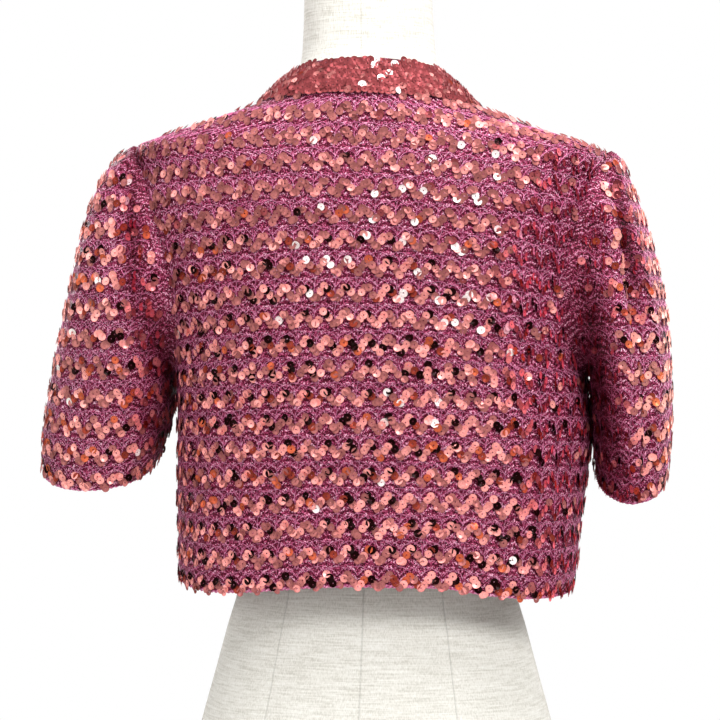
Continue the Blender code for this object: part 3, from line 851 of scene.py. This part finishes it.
def cloth_piece(node, walls, cloth, material):
    """The shell that stands for a cloth node, with its knitting's map."""
    inside, outside = walls
    rows, columns = inside.shape[:2]
    arc, level = cloth.map_grid(), cloth.level
    if cloth.closed:
        arc, level = arc[::-1, :-1], level[::-1, :-1]
    if arc.shape != inside.shape[:2]:
        arc, level = arc.T, level.T
    flat = np.stack([arc / CELL_WIDTH, level / ROW_HEIGHT], axis=-1).reshape(-1, 2)
    points = np.concatenate([inside.reshape(-1, 3), outside.reshape(-1, 3)])
    # The shell's colours are the painted shade and light of the creases.
    piece = mesh_piece(node + "_cloth", points, wall_faces(rows, columns, cloth.closed), material,
                       shade_and_light_painted_at(points), np.concatenate([flat, flat]))
    facing_out(piece)
    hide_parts(node)
    return piece


def dished_disc():
    """One sequin: a cupped round sheet with a hole, as points and faces."""
    ring = circle(SEQUIN_SIDES)
    rim = ring * SEQUIN_RADIUS + (0, 0, SEQUIN_CUP)
    number = np.arange(2 * SEQUIN_SIDES).reshape(2, SEQUIN_SIDES)
    return np.concatenate([rim, ring * SEQUIN_HOLE]), cells(closed_round(number, 1)).reshape(-1, 4)


def swept(points):
    """How far sequins on the right of the back and in the creases turn edge on to a viewer behind."""
    starts = np.interp(points[:, 2], SWEEP_HEIGHTS, SWEEP_STARTS)
    share = smooth_step((starts - points[:, 0]) / SWEEP_WIDTH) * (points[:, 0] > SWEEP_ENDS)
    in_creases = np.minimum(crease(points[:, 0], points[:, 2], SWEEP_LINES), 1.0)
    return np.maximum(share, in_creases) * (points[:, 1] > 0)


def sequins(name, frames, heading, lift, colours, random, material):
    """Many sequins as one mesh; heading is each one's way along its thread."""
    points, outward, along, up = frames
    count = len(points)
    disc, faces = dished_disc()
    aside = (swept(points) * (random.random(count) > FACING_SHARE))[:, None]
    level_slope = 1 - (1 - HUNG_SLOPE) * (1 - aside[:, 0])
    hung = unit(outward * np.stack([np.ones(count), np.ones(count), level_slope], axis=-1))
    forward = along * np.cos(heading)[:, None] + up * np.sin(heading)[:, None]
    sideways = np.cross(outward, forward)
    flatter = SIDE_TILT + (1 - SIDE_TILT) * abs(outward[:, 1])
    pitch = (SEQUIN_TILT + random.normal(0, SEQUIN_WOBBLE, count)) * flatter
    roll = random.normal(0, SEQUIN_WOBBLE, count) * flatter
    facing = hung * np.cos(pitch)[:, None] + forward * np.sin(pitch)[:, None]
    facing += sideways * np.sin(roll)[:, None]
    steep = 1 - smooth_step((outward[:, 2:] - STEEP_FROM) / (STEEP_TO - STEEP_FROM))
    away = np.where(outward[:, 0:1] > 0, 1.0, -1.0)
    facing = unit(facing + away * (1.0, 0.0, 0.0) * np.tan(SWEEP_MOST * aside) * steep)
    first = unit(forward - facing * (forward * facing).sum(axis=-1, keepdims=True))
    second = np.cross(facing, first)
    size = random.uniform(*SEQUIN_SIZES, count)[:, None, None]
    ways = (first, second, facing)
    placed = sum(disc[None, :, axis, None] * way[:, None] for axis, way in enumerate(ways))
    placed = (points + outward * lift[:, None])[:, None] + placed * size
    every_face = (faces[None] + np.arange(count)[:, None, None] * len(disc)).reshape(-1, 4)
    # Painted shade and light of the creases, and painted shade where the sequins turn edge on.
    colours = colours * shade_and_light_painted_at(points) * (1 - aside * steep * SWEEP_PAINTED_SHADE)
    # Painted shade on each sequin's rim, painted highlight round its hole.
    shade = np.repeat((RIM_PAINTED_SHADE, HOLE_PAINTED_HIGHLIGHT), SEQUIN_SIDES)
    tints = (colours[:, None] * shade[None, :, None]).reshape(-1, 3)
    mesh_piece(name, placed.reshape(-1, 3), every_face.tolist(), material, tints)


def yarns(name, strands, thickness, sides, material):
    """Many yarns as one mesh; each strand is a path of points with their outward ways."""
    paths, outward = [np.array(part) for part in zip(*strands)]
    forward = unit(np.gradient(paths, axis=1))
    beside = unit(np.cross(outward, forward))
    above = np.cross(forward, beside)
    cosine, sine, _ = circle(sides).T
    ring = beside[:, :, None] * cosine[:, None] + above[:, :, None] * sine[:, None]
    points = (paths[:, :, None] + ring * thickness / 2).reshape(-1, 3)
    number = np.arange(len(points)).reshape(*paths.shape[:2], sides)
    faces = cells(closed_round(number, 2)).reshape(-1, 4).tolist()
    faces += number[:, 0].tolist() + number[:, -1, ::-1].tolist()
    # Painted shade on the yarns below one height, with the painted shade and light of the creases.
    high = smooth_step((points[:, 2] - YARN_SHADE_PAINTED_BELOW) / (YARN_UNSHADED_FROM - YARN_SHADE_PAINTED_BELOW))
    tones = shade_and_light_painted_at(points) * (YARN_PAINTED_SHADE + (1 - YARN_PAINTED_SHADE) * high)[:, None]
    mesh_piece(name, points, faces, material, tones)


def palette(shares, random, count):
    """Seeded picks from the sequins' colours, each a little lighter or darker."""
    share = np.cumsum(shares) / np.sum(shares)
    picks = np.searchsorted(share, random.uniform(0, 1, count))
    colour = np.array(SEQUIN_COLOURS_AND_REFLECTIONS)[np.clip(picks, 0, len(SEQUIN_COLOURS_AND_REFLECTIONS) - 1)]
    return np.clip(colour * random.uniform(*SEQUIN_SHADES, (count, 1)), 0, 1)


def with_fewer_blacks(shares, blacks):
    """The same shares with only some of the black sequins, salmon ones in the others' place."""
    salmon, rose_brown, orange, black, *others = shares
    return salmon + black * (1 - blacks), rose_brown, orange, black * blacks, *others


def painted_sequin_reflections(phase, high, blacks, random):
    """Painted reflections along the zigzag seen from outside: lit and bright as it climbs, shaded and dark
    as it falls.
    """
    place = 1 - phase % 1.0
    colours = np.zeros((len(phase), 3))
    first = 0.0
    for last, low_shares, high_shares in SHARES_BY_PLACE:
        here = (place >= first) & (place < last)
        low_part = palette(with_fewer_blacks(low_shares, blacks), random, len(phase))
        high_part = palette(high_shares, random, len(phase))
        part = np.where(random.uniform(0, 1, len(phase))[:, None] < high, high_part, low_part)
        colours[here] = part[here]
        first = last
    return colours


def add_painted_glints(points, colours, painted_glint_spot, random):
    """Painted glints: the few sequins painted near white as painted highlights, most of them near one
    place.
    """
    most, middle, spread = painted_glint_spot
    away = ((points[:, (0, 2)] - middle) / spread) ** 2
    share = LEAST_PAINTED_GLINTS + (most - LEAST_PAINTED_GLINTS) * np.exp(-away.sum(axis=1)) * (points[:, 1] > 0)
    lit = random.uniform(0, 1, len(points)) < share
    return np.where(lit[:, None], PAINTED_GLINT_COLOUR, colours)


def place_sequins(node, cloth, rows, painted_glint_spot, random, material):
    """Sequins from rows of their levels, columns, headings, colours and lifts."""
    level, columns, heading, colours, lift = [np.concatenate(values) for values in zip(*rows)]
    frames = cloth.frames(level, columns)
    colours = add_painted_glints(frames[0], colours, painted_glint_spot, random)
    sequins(node + "_sequins", frames, heading, lift, colours, random, material)


def zigzag(phase):
    """Height of the sequins' thread in its row and whether it rises, over one cell."""
    place = phase % 1.0
    rising = place < 0.5
    height = np.where(rising, place * 2, 2 - place * 2)
    return (height - 0.5) * ZIGZAG_HEIGHT, rising


def dress_in_sequins(node, cloth, levels, browns, random, materials):
    """The sequinned zigzags and the pink yarns of one piece of cloth."""
    brown_from, brown_to, blacks = browns
    rows, arches, ribs = [], [], []
    per_cell = 2 * np.hypot(CELL_WIDTH / 2, ZIGZAG_HEIGHT) / SEQUIN_STEP
    for number, level in enumerate(np.arange(*levels, ROW_HEIGHT)):
        left, right = cloth.row_ends(level)
        drift = ROW_DRIFT * np.sin(number * ROW_DRIFT_TURN)
        along = np.arange(left, right, CELL_WIDTH / per_cell)
        along = along + random.normal(0, ALONG_JITTER, len(along))
        rise, rising = zigzag(along / CELL_WIDTH + drift)
        rise = rise + random.normal(0, RISE_JITTER, len(along))
        columns = cloth.columns_at(level, along)
        heading = np.arctan2(ZIGZAG_HEIGHT * 2, CELL_WIDTH) * np.where(rising, 1, -1)
        high = smooth_step((level - brown_from) / (brown_to - brown_from))
        colour = painted_sequin_reflections(along / CELL_WIDTH + drift, high, blacks, random)
        keep = cloth.inside_edges(level + rise, columns, SEQUIN_OVERHANG, SEQUIN_MARGIN)
        if not cloth.closed:
            keep &= (along > left + SEQUIN_MARGIN) & (along < right - SEQUIN_MARGIN)
        lift = STAND_OFF + random.uniform(0, LIFT_SPREAD, keep.sum())
        rows.append(((level + rise)[keep], columns[keep], heading[keep], colour[keep], lift))
        make_arches(cloth, level, (left, right), drift, random, arches, ribs)
    place_sequins(node, cloth, rows, BACK_PAINTED_GLINT_SPOT, random, materials["sequin"])
    for ending, strands, thick in (("_scallops", arches, ARCH_THICK), ("_ribs", ribs, RIB_THICK)):
        if strands:
            yarns(node + ending, strands, thick, YARN_SIDES, materials["yarn"])


def make_arches(cloth, level, ends, drift, random, arches, ribs):
    """Scallops of yarn above a row's sequins and the ribs between its cells."""
    for start in np.arange(np.floor(ends[0] / CELL_WIDTH) - drift, ends[1] / CELL_WIDTH) * CELL_WIDTH:
        for foot, height, shift in ARCHES:
            share = np.linspace(0, 1, ARCH_POINTS)
            along = start + (share + shift) * CELL_WIDTH + random.normal(0, ALONG_JITTER, ARCH_POINTS)
            rise = foot + height * np.sin(np.pi * share) ** ARCH_FULLNESS
            rise = rise + random.normal(0, YARN_JITTER, ARCH_POINTS)
            add_strand(cloth, level, along, rise, ends, ARCH_LIFT, arches)
        share = np.linspace(*RIB_SHARES, RIB_POINTS)
        along = start + RIB_WAVE * np.sin(share * RIB_WAVE_TURN)
        along = along + random.normal(0, YARN_JITTER, RIB_POINTS)
        add_strand(cloth, level, along, share * ROW_HEIGHT, ends, RIB_LIFT, ribs)


def add_strand(cloth, level, along, rise, ends, lift, strands):
    """Keeps one yarn's path, with its outward ways, where all of it is on the cloth."""
    columns = cloth.columns_at(level, along)
    inside = cloth.inside_edges(level + rise, columns, YARN_MARGIN, YARN_MARGIN).all()
    between = along.min() > ends[0] + YARN_MARGIN and along.max() < ends[1] - YARN_MARGIN
    if inside and (cloth.closed or between):
        points, outward, _, _ = cloth.frames(level + rise, columns)
        strands.append((points + outward * lift, outward))


def fresh_material(name):
    """A new material, its node tree and its shader."""
    material = bpy.data.materials.new(name)
    material.use_nodes = True
    return material, material.node_tree, material.node_tree.nodes["Principled BSDF"]


def add_node(tree, kind, **settings):
    """A shader node with its settings and unlinked inputs, to the left of those before it."""
    node = tree.nodes.new("ShaderNode" + kind)
    node.location.x = -NODE_STEP * len(tree.nodes)
    for name, value in settings.items():
        if hasattr(node, name):
            setattr(node, name, value)
        else:
            node.inputs[name.replace("_", " ")].default_value = value
    return node


def add_sum(tree, operation, second=None):
    """A maths node, with a second value where none is linked to it."""
    node = add_node(tree, "Math", operation=operation)
    if second is not None:
        node.inputs[1].default_value = second
    return node


def add_ramp(tree, *stops):
    node = add_node(tree, "ValToRGB")
    while len(node.color_ramp.elements) < len(stops):
        node.color_ramp.elements.new(0.5)
    for element, (position, colour) in zip(node.color_ramp.elements, stops):
        element.position = position
        element.color = (*colour, 1.0)
    return node


def add_range(tree, low, high, to_low, to_high):
    return add_node(tree, "MapRange", From_Min=low, From_Max=high, To_Min=to_low, To_Max=to_high)


def connect(tree, *links):
    """Links outputs to inputs: each link is a node, its output, the next node and its input."""
    for source, output, target, entry in links:
        tree.links.new(source.outputs[output], target.inputs[entry])


def apply_painted_shading(tree, tones, shader):
    """The shader's colour: a ramp's, times each point's painted light and shade."""
    painted_light_and_shade = add_node(tree, "Attribute", attribute_name="tint")
    product = add_node(tree, "VectorMath", operation="MULTIPLY")
    connect(tree, (tones, "Color", product, 0), (painted_light_and_shade, "Color", product, 1),
            (product, "Vector", shader, "Base Color"))


def sequin_material():
    """Glossy tinted plastic: each sequin's colour with its painted reflections, painted glints and painted
    shade, with fine scratches and patches of wear in its roughness.
    """
    material, tree, shader = fresh_material("sequin_lacquer")
    tint = add_node(tree, "Attribute", attribute_name="tint")
    place = add_node(tree, "TexCoord")
    scratch = add_node(tree, "TexNoise", Scale=900.0, Detail=3.0)
    wear = add_range(tree, 0.3, 0.7, 0.24, 0.42)
    shade = add_range(tree, 0.3, 0.7, 0.86, 1.12)
    mottle = add_node(tree, "VectorMath", operation="SCALE")
    bump = add_node(tree, "Bump", Strength=0.15, Distance=0.0003)
    connect(tree, (place, "Object", scratch, "Vector"), (scratch, "Fac", wear, "Value"),
            (scratch, "Fac", shade, "Value"), (scratch, "Fac", bump, "Height"),
            (tint, "Color", mottle, 0), (shade, "Result", mottle, "Scale"),
            (mottle, "Vector", shader, "Base Color"), (wear, "Result", shader, "Roughness"),
            (bump, "Normal", shader, "Normal"))
    shader.inputs["Metallic"].default_value = 0.25
    shader.inputs["Specular IOR Level"].default_value = 0.0
    shader.inputs["Coat Weight"].default_value = 0.05
    shader.inputs["Coat Roughness"].default_value = 0.08
    return material


def lurex_material(name, colours):
    """Knitted metallic yarn: fine glittering loops in fans, with pink ribs between them."""
    material, tree, shader = fresh_material(name)
    place = add_node(tree, "TexCoord")
    loops = add_node(tree, "TexVoronoi", Scale=1350.0)
    strands = add_node(tree, "TexNoise", Scale=860.0, Detail=4.0, Roughness=0.75)
    picked = add_node(tree, "SeparateColor")
    strand_part = add_sum(tree, "MULTIPLY", LUREX_STRAND_SHARE)
    both = add_sum(tree, "MULTIPLY_ADD", LUREX_LOOP_SHARE)
    connect(tree, (place, "Object", loops, "Vector"), (place, "Object", strands, "Vector"),
            (loops, "Color", picked, "Color"), (strands, "Fac", strand_part, 0),
            (picked, "Red", both, 0), (strand_part, "Value", both, 2))
    flat_place = add_node(tree, "UVMap", uv_map="knit_map")
    split = add_node(tree, "SeparateXYZ")
    across = add_sum(tree, "FRACT")
    upward = add_sum(tree, "FRACT")
    from_rib = add_sum(tree, "SUBTRACT", 0.5)
    squared = add_sum(tree, "MULTIPLY")
    fan = add_sum(tree, "ADD")
    arc = add_sum(tree, "MULTIPLY", LUREX_ARC_TURN)
    wave = add_sum(tree, "SINE")
    with_arcs = add_sum(tree, "MULTIPLY_ADD", LUREX_ARC_SHARE)
    connect(tree, (flat_place, "UV", split, "Vector"), (split, "X", across, 0), (split, "Y", upward, 0),
            (across, "Value", from_rib, 0), (from_rib, "Value", squared, 0),
            (from_rib, "Value", squared, 1), (squared, "Value", fan, 0), (upward, "Value", fan, 1),
            (fan, "Value", arc, 0), (arc, "Value", wave, 0), (wave, "Value", with_arcs, 0),
            (both, "Value", with_arcs, 2))
    tones = add_ramp(tree, *zip(LUREX_STOPS, colours))
    bump = add_node(tree, "Bump", Strength=0.9, Distance=0.0012)
    glitter = add_range(tree, 0.0, 1.0, 0.22, 0.6)
    connect(tree, (with_arcs, "Value", tones, "Fac"), (with_arcs, "Value", bump, "Height"),
            (picked, "Green", glitter, "Value"), (glitter, "Result", shader, "Roughness"),
            (bump, "Normal", shader, "Normal"))
    apply_painted_shading(tree, tones, shader)
    shader.inputs["Metallic"].default_value = 0.1
    shader.inputs["Specular IOR Level"].default_value = 0.12
    return material


def yarn_material():
    """Bright pink metallic yarn with darker twists."""
    material, tree, shader = fresh_material("pink_yarn")
    place = add_node(tree, "TexCoord")
    twist = add_node(tree, "TexNoise", Scale=650.0, Detail=3.0, Roughness=0.7)
    tones = add_ramp(tree, (0.32, (0.36, 0.025, 0.095)), (0.50, (0.70, 0.17, 0.36)),
                     (0.70, (0.95, 0.58, 0.74)))
    bump = add_node(tree, "Bump", Strength=0.8, Distance=0.0006)
    connect(tree, (place, "Object", twist, "Vector"), (twist, "Fac", tones, "Fac"),
            (twist, "Fac", bump, "Height"), (bump, "Normal", shader, "Normal"))
    apply_painted_shading(tree, tones, shader)
    shader.inputs["Metallic"].default_value = 0.1
    shader.inputs["Specular IOR Level"].default_value = 0.15
    shader.inputs["Roughness"].default_value = 0.45
    return material


def linen_material():
    """Off-white heathered linen: fine crossing threads, a few darker slubs."""
    material, tree, shader = fresh_material("heathered_linen")
    place = add_node(tree, "TexCoord")
    lengthways = add_node(tree, "Mapping", Scale=(1.0, 1.0, 0.16))
    crossways = add_node(tree, "Mapping", Scale=(0.06, 0.06, 1.0))
    warp = add_node(tree, "TexNoise", Scale=1300.0, Detail=2.0)
    weft = add_node(tree, "TexNoise", Scale=800.0, Detail=3.0)
    cloudy = add_node(tree, "TexNoise", Scale=38.0, Detail=3.0)
    threads = add_sum(tree, "ADD")
    soft = add_sum(tree, "MULTIPLY_ADD", LINEN_CLOUD_SHARE)
    scaled = add_range(tree, 0.75, 1.55, 0.0, 1.0)
    tones = add_ramp(tree, (0.12, (0.56, 0.54, 0.48)), (0.45, (0.72, 0.70, 0.64)),
                     (0.85, (0.83, 0.82, 0.77)))
    bump = add_node(tree, "Bump", Strength=0.5, Distance=0.0004)
    for mapping, noise in ((lengthways, warp), (crossways, weft)):
        connect(tree, (place, "Object", mapping, "Vector"), (mapping, "Vector", noise, "Vector"))
    connect(tree, (place, "Object", cloudy, "Vector"), (warp, "Fac", threads, 0),
            (weft, "Fac", threads, 1), (cloudy, "Fac", soft, 0), (threads, "Value", soft, 2),
            (soft, "Value", scaled, "Value"), (scaled, "Result", tones, "Fac"),
            (threads, "Value", bump, "Height"), (bump, "Normal", shader, "Normal"))
    apply_painted_shading(tree, tones, shader)
    shader.inputs["Roughness"].default_value = 0.92
    return material


def form_turns():
    """Angles of the form's columns: even ones, with close ones beside each seam."""
    turn = list(np.linspace(0, 2 * np.pi, FORM_COLUMNS, endpoint=False))
    for seam in SEAM_ANGLES:
        for away in SEAM_COLUMNS:
            place = np.radians(seam) + away / SEAM_RADIUS
            turn = [other for other in turn if abs(wrapped(other - place)) > SEAM_CLEARANCE]
            turn.append(place % (2 * np.pi))
    return np.sort(turn)


def linen_form(material):
    """The dress form's cover, with its seams sunk in, in place of the faceted CAD body."""
    table_heights = column(FORM_SECTIONS, FORM_SECTION_COLUMNS, "height")
    heights = [table_heights[0]]
    for low, high in zip(table_heights, table_heights[1:]):
        steps = max(1, round((high - low) / FORM_ROW_STEP))
        heights.extend(np.linspace(low, high, steps + 1)[1:])
    turn = form_turns()
    count = len(turn)
    rings, shades = [], []
    side_seam = abs(np.sin(turn)) > SEAM_MIDDLE_SINE
    for height in heights:
        half_width, back, front = [form_size(name, height) for name in FORM_SECTION_COLUMNS[1:]]
        sunk = np.zeros(count)
        for seam in SEAM_ANGLES:
            away = wrapped(turn - np.radians(seam)) * SEAM_RADIUS
            sunk += SEAM_DEPTH * np.exp(-(away / SEAM_HALF_WIDTH) ** 2)
        sunk *= np.where(side_seam, 1 - smooth_step((height - SIDE_SEAMS_FADE) / SIDE_SEAMS_LENGTH), 1.0)
        # Painted shade on the form below the jacket and painted light on its neck.
        painted_light_and_shade = np.interp(height, FORM_SHADE_PAINTED_AT, FORM_PAINTED_SHADE)
        shades.append(np.repeat(painted_light_and_shade * (1 - SEAM_SHADE * sunk[:, None]), 3, axis=1))
        shrink = 1 - sunk / half_width
        across, along = section_point(turn, half_width, back, front)
        rings.append(np.stack([across * shrink, along * shrink, np.full(count, height)], axis=-1))
    number = np.arange(len(rings) * count).reshape(-1, count)
    faces = number[[0, -1]].tolist() + cells(closed_round(number, 1)).reshape(-1, 4).tolist()
    form = mesh_piece("dress_form_cover", np.concatenate(rings), faces, material,
                      np.concatenate(shades))
    facing_out(form)
    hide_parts("dress_form")


def body_cloth(grid, creases, middle):
    """Walls and cloth of a piece of the jacket's body, from its angles and heights."""
    angle, height = grid
    outward = jacket_outward(angle, height)
    relief = crease(angle * CREASE_RADIUS, height, creases)[..., None]
    inside = jacket_point(angle, height) + outward * relief
    outside = inside + outward * WALL
    foot = hem_height(angle)
    near_hem = 1 - smooth_step((height - foot) / HEM_LEVEL_FADE)
    level = height + droop(angle, height) + (HEM_LEVEL - foot) * near_hem
    return (trimmed(inside), trimmed(outside)), Cloth(outside, outward, level, middle)


def sleeve_cloth(side, table, fold_depth, creases):
    """Walls and cloth of a sleeve; the cloth's columns start under the arm."""
    middle, turn = sleeve_middle(side, table)
    around = np.degrees(wrapped(turn))[None]
    down = np.append(CREASE_RIM_PLACE, SLEEVE_PLACES)[:, None] * CREASE_RING_STEP
    relief = sleeve_relief(turn, fold_depth) + crease(around, down, creases)
    middle = middle + outward_of_tube(middle, side) * relief[..., None]
    outward = outward_of_tube(middle, side)
    grids = (middle - outward * WALL / 2, middle + outward * WALL / 2, outward)
    inside, outside, outward = [np.roll(grid, len(turn) // 2, axis=1) for grid in grids]
    height = outside[..., 2]
    cuff = height[-1:]
    lift = (cuff.mean() - cuff) * smooth_step(1 - (height - cuff) / CUFF_LEVEL_FADE)
    level = np.maximum.accumulate((height + lift)[::-1], axis=0)
    return (inside, outside), Cloth(outside[::-1], outward[::-1], level)


def band_cloth(grid, back):
    """Walls and cloth of a neckband; its level is the distance out from its inner edge."""
    inside = jacket_point(*grid)
    outward = jacket_outward(*grid)
    outside = inside + outward * WALL
    walls = (trimmed(inside), trimmed(outside))
    if not back:
        outside, outward = np.swapaxes(outside, 0, 1), np.swapaxes(outward, 0, 1)
    level = np.concatenate([np.zeros((1, outside.shape[1])), np.cumsum(step_lengths(outside), axis=0)])
    return walls, Cloth(outside, outward, level, middle=0)


def dress_band(node, cloth, toward_neck, random, materials):
    """Overlapping rows of sequins over a neckband, like scales that lie away from the neck."""
    rows = []
    for number, level in enumerate(np.arange(BAND_ROW / 2, cloth.highest.max(), BAND_ROW)):
        left, right = cloth.row_ends(level)
        along = np.arange(left + BAND_LEFT_MARGIN, right - BAND_RIGHT_MARGIN, BAND_STEP)
        along = along + (number % 2) * BAND_STEP / 2
        along = along + random.normal(0, BAND_ALONG_JITTER, len(along))
        rise = random.normal(0, BAND_RISE_JITTER, len(along))
        columns = cloth.columns_at(level, along)
        keep = cloth.inside_edges(level + rise, columns, BAND_EDGE, BAND_EDGE)
        keep &= along < right - SEQUIN_MARGIN
        count = keep.sum()
        heading = toward_neck + random.normal(0, BAND_TURN_JITTER, count)
        colour = palette(BAND_SHARES, random, count)
        lift = BAND_STAND_OFF + random.uniform(0, BAND_LIFT_SPREAD, count)
        rows.append(((level + rise)[keep], columns[keep], heading, colour, lift))
    place_sequins(node, cloth, rows, BAND_PAINTED_GLINT_SPOT, random, materials["sequin"])


def edge_yarn(name, outer, inner, random, material):
    """The crocheted edge: two wavy plies along the middle of a wall's lower edge."""
    outward = unit(outer - inner)
    down = np.broadcast_to(np.array([0.0, 0.0, -1.0]), outer.shape)
    line = (outer + inner) / 2 + down * EDGE_DROP
    run = np.append(0, np.cumsum(step_lengths(line)))
    at = np.linspace(0, run[-1], int(run[-1] / EDGE_STEP))
    line, outward, down = [np.stack([np.interp(at, run, values[:, axis]) for axis in range(3)], axis=-1)
                           for values in (line, outward, down)]
    plies = []
    for offset in (0.0, np.pi):
        phase = at / EDGE_LENGTH * 2 * np.pi + offset
        wave = EDGE_WAVE * np.sin(phase) + random.normal(0, EDGE_JITTER, len(at))
        path = line + outward * (EDGE_TWIST * np.cos(phase))[:, None] + down * wave[:, None]
        plies.append((path, outward))
    yarns(name, plies, EDGE_THICK, EDGE_SIDES, material)


def build_jacket(materials):
    """Every piece of the jacket: shells with their knitting, sequins, yarns and edges."""
    random = np.random.default_rng(SEED)
    shells, edges = {}, []

    def add_panel(node, edge, grid, creases, middle):
        walls, cloth = body_cloth(grid, creases, middle)
        shells[node] = cloth_piece(node, walls, cloth, materials["lurex"])
        dress_in_sequins(node, cloth, BODY_LEVELS, BODY_BROWNS, random, materials)
        edges.append((edge, walls[1][0], walls[0][0]))

    def add_band(node, grid, back, toward_neck):
        walls, cloth = band_cloth(grid, back)
        shells[node] = cloth_piece(node, walls, cloth, materials["band"])
        dress_band(node, cloth, toward_neck, random, materials)

    add_panel("back_panel", "back_hem", back_panel_grid(), BACK_CREASES, HALF_COLUMNS)
    for name, side in (("left", 1), ("right", -1)):
        front = name + "_front"
        add_panel(front, front + "_hem", front_panel_grid(side), FRONT_CREASES, FRONT_COLUMNS)
        add_band(front + "_band", front_band_grid(side), False, -np.pi / 2)
        node = name + "_sleeve"
        walls, cloth = sleeve_cloth(side, *SLEEVES[name])
        shells[node] = cloth_piece(node, walls, cloth, materials["lurex"])
        levels = (cloth.first + CUFF_FIRST_ROW, SLEEVE_LAST_LEVEL)
        dress_in_sequins(node, cloth, levels, SLEEVE_BROWNS, random, materials)
        edges.append((name + "_cuff", *[closed_round(wall[-1], 0) for wall in walls[::-1]]))
    add_band("back_neck_band", back_band_grid(), True, np.pi / 2)
    for name, outer, inner in edges:
        edge_yarn(name + "_edge", outer, inner, random, materials["yarn"])
    return shells


def add_camera():
    data = bpy.data.cameras.new("photo_camera")
    data.lens = CAMERA_LENS
    data.shift_x = CAMERA_SHIFT
    data.clip_end = CAMERA_SEES
    camera = add_object("photo_camera", data)
    camera.location = CAMERA_AT
    camera.rotation_euler = (np.radians(90.0), 0.0, np.radians(CAMERA_AZIMUTH))
    bpy.context.scene.camera = camera


def add_lights():
    for name, place, size, power in LIGHTS:
        data = bpy.data.lights.new(name, "AREA")
        data.size = size
        data.energy = power
        light = add_object(name, data)
        light.location = place
        aim = Vector(LIGHTS_AIM) - Vector(place)
        light.rotation_euler = aim.to_track_quat("-Z", "Y").to_euler()


def add_surroundings():
    """White studio walls for the camera, softer grey ones for the light that reaches the jacket."""
    scene = bpy.context.scene
    scene.view_settings.view_transform = "Standard"
    scene.world = bpy.data.worlds.new("studio")
    scene.world.use_nodes = True
    tree = scene.world.node_tree
    seen = tree.nodes["Background"]
    seen.inputs["Color"].default_value = (1.0, 1.0, 1.0, 1.0)
    seen.inputs["Strength"].default_value = 1.0
    lighting = add_node(tree, "Background", Color=(1.0, 0.985, 0.97, 1.0), Strength=WALL_LIGHT)
    path = add_node(tree, "LightPath")
    mix = add_node(tree, "MixShader")
    connect(tree, (path, "Is Camera Ray", mix, "Fac"), (lighting, "Background", mix, 1),
            (seen, "Background", mix, 2), (mix, "Shader", tree.nodes["World Output"], "Surface"))


def add_floor():
    mesh = bpy.data.meshes.new("studio_floor")
    mesh.from_pydata((circle(FLOOR_SIDES) * FLOOR_RADIUS).tolist(), [], [list(range(FLOOR_SIDES))])
    material, _, shader = fresh_material("pale_floor")
    shader.inputs["Base Color"].default_value = (0.86, 0.86, 0.85, 1.0)
    shader.inputs["Roughness"].default_value = 0.9
    mesh.materials.append(material)
    add_object("studio_floor", mesh)


add_camera()
linen_form(linen_material())
build_jacket({
    "lurex": lurex_material("pink_lurex_knit", KNIT_TONES),
    "band": lurex_material("band_knit", BAND_TONES),
    "sequin": sequin_material(),
    "yarn": yarn_material(),
})
add_lights()
add_surroundings()
add_floor()
